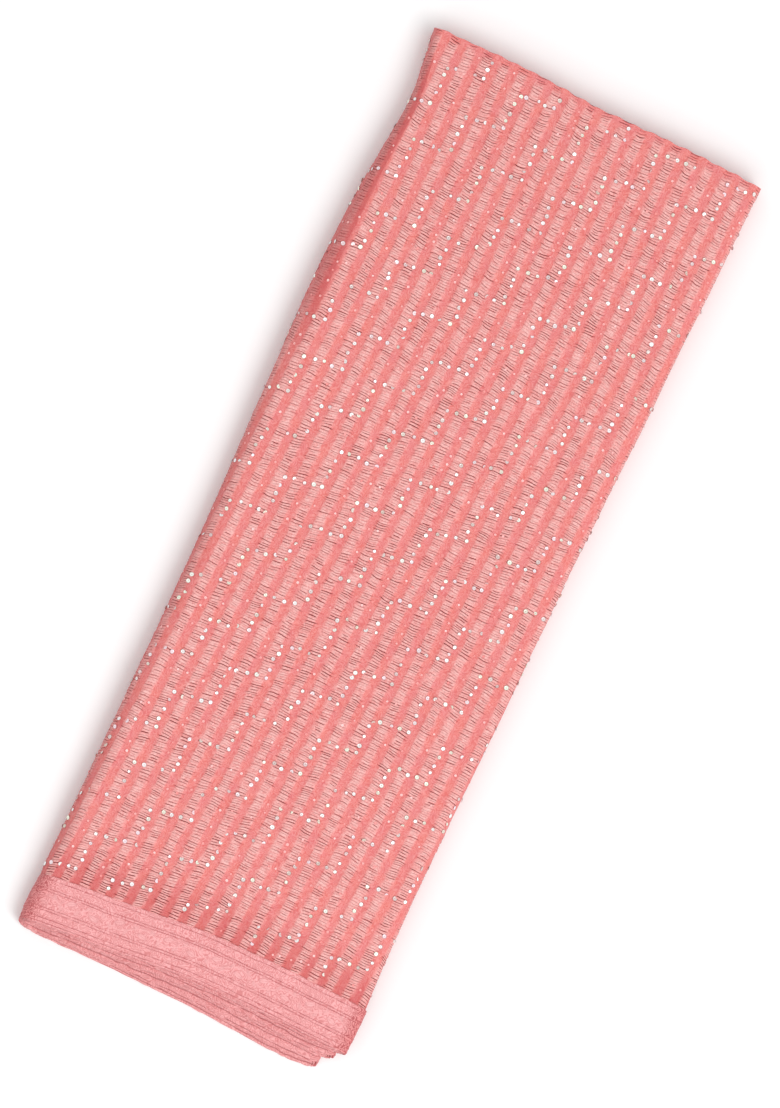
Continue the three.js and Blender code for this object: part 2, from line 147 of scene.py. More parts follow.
def look_up(columns, name, at):
    """A smooth cubic through a table's rows: between two rows the value eases from one to the other,
    and a bend is added so that the slope at each row is that of the chord through its neighbours."""
    key = next(iter(columns.values()))
    value = columns[name]
    last = len(key) - 1
    place = np.clip(at, key[0], key[last])
    i = np.clip(np.searchsorted(key, place), 1, last)
    before = np.maximum(np.arange(last + 1) - 1, 0)
    after = np.minimum(np.arange(last + 1) + 1, last)
    slope = (value[after] - value[before]) / (key[after] - key[before])
    width = key[i] - key[i - 1]
    t = (place - key[i - 1]) / width
    bend = t * (1 - t) * width * ((1 - t) * slope[i - 1] - t * slope[i])
    return lerp(value[i - 1], value[i], smooth(0, 1, t)) + bend


def section(station):
    """The section's columns at each station."""
    return {name: look_up(SECTIONS, name, station) for name in SECTION_NAMES[1:]}


def share_across(sec, x):
    """The place across the packet, 0 at its left edge and 1 at its right."""
    return np.clip((x - sec["left"]) / (sec["right"] - sec["left"]), 0, 1)


def foot_at(across, level):
    """The border's edge: from the top ply's (level 0) to the lowest ply's (level 1)."""
    return lerp(look_up(ENDS, "foot", across), look_up(ENDS, "lowest", across), level)


def fold_level(sec, packet, z):
    """How far out a lower packet's own fold lies at each height: as its plies do."""
    share = np.clip(z / sec["height"], packet["bottom"] + LEVEL_INSET, packet["top"] - LEVEL_INSET)
    return look_up(BUNCHES, "level", share)


# ---- Soft unevennesses of the cloth
NOISE_GRID = 256
# height, sizes along the two axes and seed, then the shifts where there are any. An axis that counts
# stripes, bunches, widths or shares of the height has 1 over the factor that tells neighbours apart.
RIPPLES = {
    "grain": (0.07, 2.3, 1.3, 11),
    "edge_slow": (0.3, 31, 1 / 2.7, 12, 0, 0.4),
    "edge_quick": (0.32, 2.6, 1 / 5.3, 13),
    "crease": (0.16, 1 / 3.4, 1.9, 14),
    "pucker_start": (1.6, 5, 1 / 1.9, 15),
    "drape_broad": (0.35, 62, 85, 21, 9.3, 4.1),
    "drape_fine": (0.16, 19, 31, 22, 3.7, 8.9),
    "head_line": (0.4, 6.5, 1, 31, 0, 3.3),
    "crown_patches": (1, 2.1, 0.9, 41),
    "tape": (0.25, 14, 40, 51),
    "tape_edge": (0.25, 9, 5, 52),
    "tape_drape": (0.35, 16, 9, 53),
    "tape_line": (0.1, 2.1, 1, 54, 0, 0.5),
    "groove_depth": (0.35, 3.3, 1, 55, 0, 0.5),
    "foot_bunch": (0.7, 23, 1 / 3.7, 61, 5, 0.5),
    "foot_ply": (0.55, 5, 1 / 41, 62, 9, 0),
    "head_bunch": (0.63, 23, 1 / 3.7, 71, 5, 0.5),
    "head_ply": (0.495, 5, 1 / 41, 72, 9, 0),
    "ply_droop": (0.12, 11, 1 / 37, 81),
}
EDGE_SIDE = 1.7 / 5.3              # how far in the noise each edge of a stripe lies from it, in stripes
CREASE_SHIFT = 4.9 / 3.4           # how far apart in the noise two stripes' creases lie, in stripe widths


def noise(x, y, seed):
    """Smooth value noise from -1 to 1: random corners on a unit grid, eased between."""
    corners = np.random.default_rng(seed).uniform(-1, 1, (NOISE_GRID, NOISE_GRID))
    i, j = np.floor(x).astype(int), np.floor(y).astype(int)
    share_x, share_y = smooth(0, 1, x - i), smooth(0, 1, y - j)
    i0, j0, i1, j1 = (value % NOISE_GRID for value in (i, j, i + 1, j + 1))
    low = lerp(corners[i0, j0], corners[i1, j0], share_x)
    high = lerp(corners[i0, j1], corners[i1, j1], share_x)
    return lerp(low, high, share_y)


def ripple(name, x, y):
    """One of the soft unevennesses at the places x and y: its height times its noise."""
    height, size_x, size_y, seed, *shifts = RIPPLES[name]
    shift_x, shift_y = shifts or (0, 0)
    return height * noise(x / size_x + shift_x, y / size_y + shift_y, seed)


def drape(x, y):
    """Soft unevenness of the whole face."""
    return ripple("drape_broad", x, y) + ripple("drape_fine", x, y)


# ---- Curves across one section
def half_ellipse_length(half_width, half_height):
    return math.pi * np.sqrt((half_width**2 + half_height**2) / 2)


def ellipse(centre_x, centre_z, half_width, half_height, angle, side):
    """A point and its outward normal on an ellipse, the angle counted from its top."""
    nx, nz = side * np.sin(angle) / half_width, np.cos(angle) / half_height
    size = np.hypot(nx, nz)
    x = centre_x + side * half_width * np.sin(angle)
    return x, centre_z + half_height * np.cos(angle), nx / size, nz / size


def spine_tangent(sec):
    return sec["left"] + sec["spine"]


def spine_end(sec):
    return spine_tangent(sec) - half_ellipse_length(sec["spine"], sec["height"] / 2)


def top_fold(sec):
    """The right fold of the top packet: where it starts, half its height and its length round."""
    half = (sec["height"] / 2 - FOLD_GAP / 2) / 2
    return sec["right"] - sec["fold"], half, half_ellipse_length(sec["fold"], half)


def top_curve(sec, s):
    """The outer ply across the packet: flat on top, where s is x, then half an ellipse round the spine
    on the left down to the floor, or round the top packet's fold on the right down to half height."""
    left, half = spine_tangent(sec), sec["height"] / 2
    spine_angle = np.clip(math.pi * (left - s) / half_ellipse_length(sec["spine"], half), 0, math.pi)
    right, fold_half, fold_length = top_fold(sec)
    fold_angle = np.clip(math.pi * (s - right) / fold_length, 0, math.pi)
    on_spine = ellipse(left, half, sec["spine"], half, spine_angle, -1)
    on_fold = ellipse(right, sec["height"] - fold_half, sec["fold"], fold_half, fold_angle, 1)
    flat = (s, sec["height"] + 0 * s, 0 * s, 1 + 0 * s)
    return [np.where(s < left, a, np.where(s > right, b, c)) for a, b, c in zip(on_spine, on_fold, flat)]


def lower_fold(sec, packet):
    """A lower packet's fold on the right: where it starts, the height of its middle and half its height."""
    low = sec["height"] * packet["bottom"] + (FOLD_GAP / 2 if packet["bottom"] else 0)
    high = sec["height"] * packet["top"] - FOLD_GAP / 2
    start = sec["right"] - packet["setback"] * sec["back"] - LOWER_REACH
    return start, (low + high) / 2, (high - low) / 2


def lower_curve(sec, packet, arc_columns, flat_columns):
    """Across a lower packet: half an ellipse round its fold from its top to its underside, and for the
    lowest packet on across the underside to the spine. Gives the points, their normals and the length of
    the curve up to each."""
    start, middle, half = lower_fold(sec, packet)
    angle = np.linspace(0, math.pi, arc_columns)[None, :]
    x, z, nx, nz = ellipse(start, middle, LOWER_REACH, half, angle, 1)
    if flat_columns:
        flat_x = lerp(start, spine_tangent(sec), np.linspace(0, 1, flat_columns + 1)[None, 1:])
        x, z = np.hstack([x, flat_x]), np.hstack([z, 0 * flat_x + middle - half])
        nx, nz = np.hstack([nx, 0 * flat_x]), np.hstack([nz, 0 * flat_x - 1])
    steps = np.hypot(*(np.diff(places, axis=1, prepend=places[:, :1]) for places in (x, z)))
    return x, z, nx, nz, np.cumsum(steps, axis=1)


def level_at(sec, x, z):
    """How far out the outer ply lies at the foot: 0 on the face, growing with depth on each side."""
    depth = np.clip(1 - z / sec["height"], 0, 1)
    on_right = np.where(x > sec["right"] - sec["fold"], RIGHT_FOLD_LEVEL * depth, 0)
    return np.where(x < spine_tangent(sec), depth, on_right)


def moved_out(x, y, z, nx, nz, out, lowest=0.0):
    """Points of a curve across the packet, moved out along its normals and kept off the floor."""
    return np.stack([x + nx * out, y, np.maximum(z + nz * out, lowest)], axis=-1)


# ---- The crinkle: each puckered stripe has its own list of creases
CREASE_SPACING = (1.1, 1.95)
CREASE_SPARE = 12                  # creases more than the mean spacing gives
CREASE_KINDS = ((0.26, 0.95), (0.42, 0.7), (0.32, 0.38))       # share of the creases, depth
CREASE_VARIES = (0.75, 1.15)       # how a crease's depth varies about its kind's
CREASE_WIDTH = 0.42
PUFF_WIDTH = 0.75                  # how far from a crease the cloth has puffed up again
CREASE_MIDDLE = 0.1                # how far a crease's middle lies off the stripe's, in stripe widths
CREASE_HALF = (0.3, 0.6)           # half its length, in stripe widths,
LONG_CREASES = 0.6                 # and the power that makes long ones more common
CREASE_FADE = (0.7, 1.15)          # where it fades out, in half lengths
# its slant, its bow either way and its strength ease from one to the next: how many values, least, most
CREASE_TRENDS = ((90, -0.17, 0.17), (120, -1.3, 1.3), (70, 0.7, 1.1))
BOW_END = 0.25                     # square of the place across, in stripe widths, where the bow ends
PUCKER_HALF = 0.455                # half a pucker's own width, in stripe widths,
PUFF_SPREAD = 0.03                 # how much wider it is where it puffs up,
PUCKER_SIDE = (-0.09, 0.07)        # and its soft sides
PUCKER_START = (1.2, 6.0)          # the puckers start this far from the head fold
CROWN = {"least": 0.4, "sides": 0.6, "reach": (0.15, 0.55)}    # painted highlight on the puckers' tops: patchy, and paler in a stripe's middle
CLOTH_ENDS = (-330, 330)
SILK_SEED = 4100


def stripe_creases(stripe):
    """One stripe's creases: their places along it, depths, middles and half lengths across it, and the
    trends of their slant, bow and strength along the cloth."""
    rng = np.random.default_rng(SILK_SEED + int(stripe))
    count = int((CLOTH_ENDS[1] - CLOTH_ENDS[0]) / np.mean(CREASE_SPACING)) + CREASE_SPARE
    places = CLOTH_ENDS[0] + np.cumsum(rng.uniform(*CREASE_SPACING, count))
    shares, kinds = zip(*CREASE_KINDS)
    depths = rng.choice(kinds, count, p=shares) * rng.uniform(*CREASE_VARIES, count)
    middles = rng.uniform(-CREASE_MIDDLE, CREASE_MIDDLE, count)
    halves = lerp(*CREASE_HALF, rng.uniform(0, 1, count) ** LONG_CREASES)
    trends = [rng.uniform(least, most, number) for number, least, most in CREASE_TRENDS]
    return places, depths, middles, halves, trends


def stripes(u, v, rise, depth):
    """The silk's relief at the places u across and v along the cloth. A puckered stripe rises with soft
    sides that wander; its creases are narrow valleys across it, each with its own place, slant, bow and
    length, and the cloth puffs up between two. Gives the height and the masks: pucker, the count of
    creases so far along the stripe (a whole number on a crease) and how deep the nearest crease is, which
    place the painted shade in the creases, and crown, the tops between them, where a highlight is painted."""
    stripe = np.floor((u + STRIPE_START * PITCH) / PITCH)
    away_u = u - stripe * PITCH - PUCKER / 2
    side = (away_u - ripple("edge_slow", v, stripe)) / PUCKER
    quick = ripple("edge_quick", v, stripe + EDGE_SIDE * np.sign(away_u))
    crease, puff, count, deep = (np.zeros_like(u) for _ in range(4))
    for k in np.unique(stripe):
        chosen = stripe == k
        places, depths, middles, halves, trends = stripe_creases(k)
        across, along = side[chosen], v[chosen]
        slant, bow, strength = (np.interp(along, np.linspace(*CLOTH_ENDS, len(t)), t) for t in trends)
        place = along - across * PUCKER * slant - bow * np.clip(across**2, 0, BOW_END)
        place = place + ripple("crease", across + k * CREASE_SHIFT, along)
        nearest = np.searchsorted((places[1:] + places[:-1]) / 2, place)
        away = np.abs(place - places[nearest])
        reach = 1 - smooth(*CREASE_FADE, np.abs(across - middles[nearest]) / halves[nearest])
        count[chosen] = np.interp(place, places, np.arange(len(places)))
        deep[chosen] = depths[nearest] * reach * strength
        crease[chosen] = deep[chosen] * bell(away, CREASE_WIDTH)
        puff[chosen] = 1 - deep[chosen] * bell(away, PUFF_WIDTH)
    half = PUCKER_HALF + quick / PUCKER + PUFF_SPREAD * puff
    pucker = 1 - smooth(*PUCKER_SIDE, np.abs(side) - half)
    pucker = pucker * smooth(*PUCKER_START, HEAD - v + ripple("pucker_start", u, stripe))
    body = pucker * (0.5 + 0.5 * puff)
    height = rise * body - depth * crease + ripple("grain", u, v) * (1 - pucker)
    # crown: where the highlight is painted on the puckers' tops
    patchy = lerp(CROWN["least"], 1, smooth(-0.5, 0.5, ripple("crown_patches", u, v)))
    crown = body * patchy * (1 - CROWN["sides"] * smooth(*CROWN["reach"], np.abs(side)))
    return height, {"pucker": pucker, "count": count, "deep": deep, "crown": crown}


# ---- Rows along the field: from a tuck under the border to the head fold, which turns the ply under
TUCKS = (-1.6, -0.8)               # rows before the seam
TURN_ROWS = 7                      # rows round the head fold
HEAD_BACK = 4.0                    # how far the ply runs back under the head fold
HEAD_SCALLOP = 0.28                # half the depth by which each pucker draws the head fold in
HEAD_OUT = 0.7                     # what the head fold gains between the puckers


def field_rows(count):
    """Stations, steps past the station and depths, each a column: even stations, with a tuck before them
    at the seam, and after them half a circle round the head fold and a short way back under."""
    radius = look_up(SECTIONS, "height", HEAD) / PLY_COUNT / 2
    turn = np.linspace(0, math.pi, TURN_ROWS + 1)[1:]
    station = np.concatenate([[SEAM] * len(TUCKS), np.linspace(SEAM, HEAD, count), [HEAD] * (TURN_ROWS + 1)])
    step = np.concatenate([TUCKS, np.zeros(count), radius * np.sin(turn), [-HEAD_BACK]])
    depth = np.concatenate([np.zeros(count + len(TUCKS)), radius * (1 - np.cos(turn)), [2 * radius]])
    return station[:, None], step[:, None], depth[:, None]


def field_y(station, across, level, x):
    """Along the packet: the field's share between the seam and the head fold, which the puckers draw in."""
    seam = foot_at(across, level) + BORDER
    pucker = x - SECTIONS["lean"][-1] - PUCKER / 2
    scallop = HEAD_SCALLOP * (1 + np.cos(2 * math.pi * pucker / PITCH)) + ripple("head_line", x, level)
    head = look_up(ENDS, "head", across) - scallop + HEAD_OUT
    return lerp(seam, head, (station - SEAM) / (HEAD - SEAM))


def turned(nz):
    """How far the cloth has turned away from the top: 0 flat, 1 upright and below."""
    return np.clip(1 - nz, 0, 1)


def painted_face_shade(sec, x, nz, station, pucker, near):
    """Where painted shade darkens the silk: where it turns down, all over the spine towards the head, less
    on the right fold, and beside the seam between the puckers."""
    along = smooth(*SPINE_SHADE["from"], station) * (1 - smooth(*SPINE_SHADE["until"], station))
    spine_shade = SPINE_SHADE["tone"] * along * smooth(*SPINE_SHADE["turn"], turned(nz))
    sides = np.where(x < spine_tangent(sec), np.maximum(turned(nz), spine_shade), FOLD_SHADE * turned(nz))
    return np.maximum(sides, SEAM_SHADE["tone"] * near * (1 - SEAM_SHADE["spared"] * pucker))


def outer_cloth(u, station, step, depth, rise, crease_depth, lift=0.0):
    """The outer ply at places u across the cloth and stations along it: the stripes lean, so the place
    across the packet is u and the lean; the top curve carries it there, and the relief moves it out."""
    sec = section(station)
    x, z, nx, nz = top_curve(sec, u + sec["lean"])
    y = field_y(station, share_across(sec, x), level_at(sec, x, z), x) + step
    height, masks = stripes(u, station + step, rise, crease_depth)
    relief = height * smooth(*PRESSED, z / sec["height"]) + drape(x, y) * smooth(*DRAPED, z / sec["height"])
    shoulder = SHOULDER["drop"] * (1 - smooth(0, SHOULDER["length"], station - SEAM))
    out = relief - shoulder * (1 - smooth(*OUTWARDS, nx)) - depth
    normals = np.stack([nx, 0 * nx, nz], axis=-1)
    # painted shade: darker where the cloth turns down, on the spine and beside the seam, with darker painted
    # shade in the creases there
    near = 1 - smooth(*SEAM_SHADE["reach"], station - SEAM)
    masks["turn"] = painted_face_shade(sec, x, nz, station, masks["pucker"], near)
    masks["deep"] = masks["deep"] * (1 + SEAM_SHADE["creases"] * near)
    return moved_out(x, y, z, nx, nz, out, FLOOR_GAP) + normals * lift, normals, masks


# ---- Meshes from grids
MAP_UNIT = 100                     # millimetres of cloth to one unit of its map


def add_object(name, data):
    """An object in the scene from its data."""
    made = bpy.data.objects.new(name, data)
    bpy.context.scene.collection.objects.link(made)
    return made


def grid_quads(index):
    """The quads of a grid of vertex numbers."""
    corners = (index[:-1, :-1], index[:-1, 1:], index[1:, 1:], index[1:, :-1])
    return np.stack(corners, axis=-1).reshape(-1, 4)


def grid_mesh(name, points, along, across, masks, flip=False):
    """A mesh of quads over a grid of points, with the cloth's map and a mask for each grid of values. The
    faces look to the side that across x along gives, or with flip to the other one."""
    rows, columns = points.shape[:2]
    quads = grid_quads(np.arange(rows * columns).reshape(rows, columns))
    return build_mesh(name, points.reshape(-1, 3), quads[:, ::-1] if flip else quads, across.ravel(),
                      along.ravel(), {key: value.ravel() for key, value in masks.items()})


def build_mesh(name, vertices, quads, across, along, masks):
    """Fills a mesh from arrays: vertices in the tables' millimetres, quads, the cloth's own map across and
    along, and a float attribute for each mask."""
    mesh = bpy.data.meshes.new(name)
    places = (vertices + np.array([*PACKET_SHIFT, 0])) * MM
    mesh.vertices.add(len(places))
    mesh.vertices.foreach_set("co", places.astype(np.float32).ravel())
    mesh.loops.add(quads.size)
    mesh.loops.foreach_set("vertex_index", quads.ravel().astype(np.int32))
    mesh.polygons.add(len(quads))
    mesh.polygons.foreach_set("loop_start", np.arange(0, quads.size, quads.shape[1], dtype=np.int32))
    mesh.update(calc_edges=True)
    mesh.polygons.foreach_set("use_smooth", np.ones(len(quads), dtype=bool))
    cloth_map = np.stack([across, along], axis=-1)[quads.ravel()] / MAP_UNIT
    mesh.uv_layers.new(name="cloth").data.foreach_set("uv", cloth_map.astype(np.float32).ravel())
    for key, value in masks.items():
        layer = mesh.attributes.new(key, "FLOAT", "POINT")
        layer.data.foreach_set("value", value.astype(np.float32))
    mesh.validate()
    return add_object(name, mesh)


def finish_piece(piece, finish, nodes=()):
    """Gives a piece its finish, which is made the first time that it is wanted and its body."""
    made = bpy.data.materials.get(finish)
    piece.data.materials.append(made or FINISHES[finish](bpy.context.scene.sari_colours, finish))
    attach(piece, BODY)
    if nodes:
        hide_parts(*nodes)


# ---- Shader helpers
MIX_FACTOR, MIX_A, MIX_B, MIX_RESULT = 0, 6, 7, 2              # a colour mix's sockets
BUMP_DISTANCE = 0.0002


def feed(tree, node, **sockets):
    """Links sockets to a node's inputs, named with an underscore for a space."""
    for name, socket in sockets.items():
        tree.links.new(socket, node.inputs[name.replace("_", " ")])


def add_node(tree, kind, settings=(), inputs=(), **sockets):
    """A node with its settings, its input values and the sockets that feed it."""
    node = tree.nodes.new(kind)
    for key, value in dict(settings).items():
        setattr(node, key, value)
    for key, value in dict(inputs).items():
        node.inputs[key].default_value = value
    feed(tree, node, **sockets)
    return node


def new_material(name, values):
    """A material with one shader that has the given values."""
    material = bpy.data.materials.new(name)
    material.use_nodes = True
    tree = material.node_tree
    tree.nodes.clear()
    shader = add_node(tree, "ShaderNodeBsdfPrincipled", {}, values)
    add_node(tree, "ShaderNodeOutputMaterial", Surface=shader.outputs["BSDF"])
    return material, tree, shader


def set_input(tree, target, value):
    """Feeds an input from a socket, or gives it a plain value."""
    if isinstance(value, bpy.types.NodeSocket):
        tree.links.new(value, target)
    else:
        target.default_value = value


def mix_colour(tree, factor, a, b):
    """A colour mix by a mask: each of a and b is a colour or a socket."""
    node = add_node(tree, "ShaderNodeMix", {"data_type": "RGBA"})
    tree.links.new(factor, node.inputs[MIX_FACTOR])
    for index, value in ((MIX_A, a), (MIX_B, b)):
        plain = not isinstance(value, bpy.types.NodeSocket)
        set_input(tree, node.inputs[index], (*value[:3], 1) if plain else value)
    return node.outputs[MIX_RESULT]


def lerp_colour(a, b, share):
    return tuple(lerp(x, y, share) for x, y in zip(a[:3], b[:3]))


def paint(tree, base, *layers):
    """Colours laid over a base one after another, each by its own mask."""
    for mask, colour in layers:
        base = mix_colour(tree, mask, base, colour)
    return base


def maths(tree, operation, *values):
    node = add_node(tree, "ShaderNodeMath", {"operation": operation})
    for target, value in zip(node.inputs, values):
        set_input(tree, target, value)
    return node.outputs[0]


def times(tree, a, b):
    return maths(tree, "MULTIPLY", a, b)


def remap(tree, value, found, wanted):
    """Takes the value from the two that are found to the two that are wanted, and no further."""
    names = ("From Min", "From Max", "To Min", "To Max")
    values = dict(zip(names, (*found, *wanted)))
    return add_node(tree, "ShaderNodeMapRange", {"clamp": True}, values, Value=value).outputs["Result"]


def attributes(tree, *names):
    """The named masks of the piece."""
    return [add_node(tree, "ShaderNodeAttribute", {"attribute_name": name}).outputs["Fac"] for name in names]


def bump(tree, height, strength):
    inputs = {"Distance": BUMP_DISTANCE, "Strength": strength}
    return add_node(tree, "ShaderNodeBump", {}, inputs, Height=height).outputs["Normal"]


# ---- The weave that all the cloths share
WEAVE = "Silk threads"
SILK_THREADS = 260.0               # threads to one unit of the cloth's map
TAPE_THREADS = 150.0
SLUB_STRETCH = (260, 22, 1)
CRINKLE_STRETCH = (24, 92, 1)
CRINKLE_LINE = ((0.0, 0.045), (1.0, 0.0))           # by how far the noise is from its middle
SQUIGGLE_TURNS = 34.0              # how many times the squiggles' noise turns


def thread_group():
    """Warp and weft threads as two sine bands that cross, slubs along the cloth, fine crinkle lines where
    a noise crosses its middle, squiggles from the sine of another, and a slow mottle, over the cloth's own
    map."""
    group = bpy.data.node_groups.new(WEAVE, "ShaderNodeTree")
    group.interface.new_socket("Map", in_out="INPUT", socket_type="NodeSocketVector")
    group.interface.new_socket("Threads", in_out="INPUT", socket_type="NodeSocketFloat")
    for name in ("Weave", "Slub", "Crinkle", "Squiggle", "Mottle"):
        group.interface.new_socket(name, in_out="OUTPUT", socket_type="NodeSocketFloat")
    source, sink = group.nodes.new("NodeGroupInput"), group.nodes.new("NodeGroupOutput")

    def texture(values, stretch=None):
        """A noise over the map, which may be stretched first."""
        place = source.outputs["Map"]
        if stretch:
            mapping = add_node(group, "ShaderNodeMapping", {}, {"Scale": stretch}, Vector=place)
            place = mapping.outputs["Vector"]
        return add_node(group, "ShaderNodeTexNoise", {}, values, Vector=place).outputs["Fac"]

    def half_up(socket):
        """From -1 to 1 to from 0 to 1."""
        return maths(group, "MULTIPLY_ADD", socket, 0.5, 0.5)

    split = add_node(group, "ShaderNodeSeparateXYZ", Vector=source.outputs["Map"]).outputs
    turns = [times(group, split[axis], source.outputs["Threads"]) for axis in ("X", "Y")]
    bands = [maths(group, "SINE", times(group, turn, 2 * math.pi)) for turn in turns]
    lines = texture({"Scale": 1.0, "Detail": 1.0, "Distortion": 0.3}, CRINKLE_STRETCH)
    away = maths(group, "ABSOLUTE", maths(group, "SUBTRACT", lines, 0.5))
    curls = texture({"Scale": 31.0, "Detail": 0.0, "Distortion": 0.6})
    feed(group, sink,
         Weave=half_up(times(group, *bands)),
         Slub=texture({"Scale": 1.0, "Detail": 3.0}, SLUB_STRETCH),
         Mottle=texture({"Scale": 9.0, "Detail": 4.0, "Roughness": 0.6}),
         Crinkle=remap(group, away, *CRINKLE_LINE),
         Squiggle=half_up(maths(group, "SINE", times(group, curls, SQUIGGLE_TURNS))))
    return group


def use_threads(tree, threads):
    """The shared weave over a piece's own map."""
    group = bpy.data.node_groups.get(WEAVE) or thread_group()
    node = add_node(tree, "ShaderNodeGroup", {"node_tree": group}, {"Threads": threads})
    feed(tree, node, Map=add_node(tree, "ShaderNodeUVMap", {"uv_map": "cloth"}).outputs["UV"])
    return node.outputs


# ---- The finishes. Each function makes one from the panel's colours and its name.
# ranges: what a mask is taken from and to; shares: how much of a layer or of a bump's height shows
# silk: crease and fine paint shade into the creases and the fine crinkle, turn paints shade on turned cloth,
# shine is a painted highlight
SILK_RANGES = {
    "crease": ((0.06, 0.18), (1.1, 0)), "mottle": ((0.35, 0.65), (0, 1)), "slub": ((0.35, 0.75), (0, 0.25)),
    "shine": ((0, 1), (0.2, 0.34)), "fine": ((0, 1), (0.08, 0.11)), "roughness": ((0, 1), (0.5, 0.6)),
}
SILK_SHARES = {"speck": 0.22, "turn": 0.7, "wrinkle": 0.5, "valley": 1.6, "weave": 0.3, "bump": 0.8}
# tape: dark_ends, ends and turn paint shade near the folds and where it turns down
TAPE_RANGES = {
    "light": ((0.6, 1), (0, 0.75)), "dark": ((0.3, 0), (0, 0.85)), "dark_ends": ((0, 1), (0.75, 1)),
    "speckle": ((0.5, 0.15), (0, 0.8)), "mottle": ((0.3, 0.7), (0, 0.2)),
    "roughness": ((0.3, 0.7), (0.45, 0.6)),
}
TAPE_SHARES = {"leaf": 0.7, "spared": 0.8, "ends": 0.45, "turn": 0.55, "weave": 0.4, "bump": 0.6}
# shadow: painted shade over the whole finish; lines: how the line mask's painted shade shows
TAPE_FINISHES = {
    "Border tape": {"shadow": 0, "lines": ((0.05, 0.8), (0, 0.85))},
    "Border edges": {"shadow": 0.08, "lines": ((0.05, 0.8), (0, 0.6))},
}
# painted reflection: the pink and green tinges and the dimmer sequins; painted shade on the rims
SEQUIN_RANGES = {
    "silver": ((0, 0.5), (0, 1)), "green": ((0.6, 1), (0, 1)), "dull": ((0.35, 1), (0, 0.75)),
    "rim": ((0.6, 1), (0, 0.8)), "roughness": ((0, 1), (0.15, 0.3)),
}
DIM_REFLECTION_TURNS = 7.0                   # how many times the painted dimmer reflection comes round from the first tint to the last


def silk_material(colours, name):
    """Crinkled silk: the flat and the puckered stripe's colours by the pucker mask, a painted highlight on
    the crowns and a painted shine, a deep rose line of painted shade on each crease, where the creases'
    count is whole, painted shade in a fine crinkle and where the cloth turns down, and the shared weave."""
    values = {"Sheen Weight": 0.1, "Sheen Roughness": 0.4, "Specular IOR Level": 0.3}
    material, tree, shader = new_material(name, values)
    weave, ranges, shares = use_threads(tree, SILK_THREADS), SILK_RANGES, SILK_SHARES
    pucker, count, deep, crown, turn = attributes(tree, "pucker", "count", "deep", "crown", "turn")
    crease = times(tree, remap(tree, maths(tree, "PINGPONG", count, 0.5), *ranges["crease"]), deep)
    slub = remap(tree, weave["Slub"], *ranges["slub"])
    shine = times(tree, weave["Squiggle"], remap(tree, pucker, *ranges["shine"]))
    speck = times(tree, maths(tree, "SUBTRACT", 1.0, weave["Squiggle"]), shares["speck"])
    fine = times(tree, weave["Crinkle"], remap(tree, pucker, *ranges["fine"]))
    # painted highlight: the crowns and the shine; painted shade: the fine crinkle, the creases and the
    # turned cloth
    base = paint(tree, colours.flat_silk,
                 (remap(tree, weave["Mottle"], *ranges["mottle"]), colours.flat_warm),
                 (pucker, colours.puckered_silk), (crown, colours.crown), (slub, colours.crown),
                 (shine, colours.crown), (speck, colours.speck_and_shade_rose), (fine, colours.crease),
                 (crease, colours.crease), (times(tree, turn, shares["turn"]), colours.speck_and_shade_rose))
    wrinkles = times(tree, weave["Crinkle"], times(tree, pucker, shares["wrinkle"]))
    low = maths(tree, "ADD", wrinkles, times(tree, crease, shares["valley"]))
    height = maths(tree, "SUBTRACT", times(tree, weave["Weave"], shares["weave"]), low)
    feed(tree, shader, Base_Color=base, Roughness=remap(tree, pucker, *ranges["roughness"]),
         Normal=bump(tree, height, shares["bump"]))
    return material


def tape_material(colours, name):
    """Woven border tape: painted shade beside its lines, and leaf veins, in a deeper rose, leaves a little
    paler, a fine squiggled ground and a coarser weave than the silk's, and painted shade near the folds
    and where it turns down. Border edges, the plies' own, are a little deeper all over, a painted shade,
    with fainter lines, which there are painted shade under the ply above."""
    material, tree, shader = new_material(name, {"Sheen Weight": 0.1, "Specular IOR Level": 0.3})
    weave, ranges, shares = use_threads(tree, TAPE_THREADS), TAPE_RANGES, TAPE_SHARES
    finish, squiggle = TAPE_FINISHES[name], weave["Squiggle"]
    line, leaf, turn, ends = attributes(tree, "line", "leaf", "turn", "ends")
    ground = maths(tree, "SUBTRACT", 1.0, times(tree, leaf, shares["spared"]))
    light = remap(tree, squiggle, *ranges["light"])
    dark = times(tree, remap(tree, squiggle, *ranges["dark"]), remap(tree, ends, *ranges["dark_ends"]))
    speckle = times(tree, remap(tree, squiggle, *ranges["speckle"]), ends)
    base = paint(tree, lerp_colour(colours.tape, colours.tape_fold_shade, finish["shadow"]),
                 (times(tree, leaf, shares["leaf"]), colours.leaf),
                 (times(tree, light, ground), colours.leaf),
                 (times(tree, dark, ground), colours.tape_line),
                 (remap(tree, weave["Mottle"], *ranges["mottle"]), colours.tape_line),
                 (remap(tree, line, *finish["lines"]), colours.tape_deep),
                 (times(tree, ends, shares["ends"]), colours.tape_fold_shade),
                 (speckle, colours.tape_deep), (times(tree, turn, shares["turn"]), colours.speck_and_shade_rose))
    height = maths(tree, "ADD", squiggle, times(tree, weave["Weave"], shares["weave"]))
    feed(tree, shader, Base_Color=base, Roughness=remap(tree, weave["Slub"], *ranges["roughness"]),
         Normal=bump(tree, height, shares["bump"]))
    return material


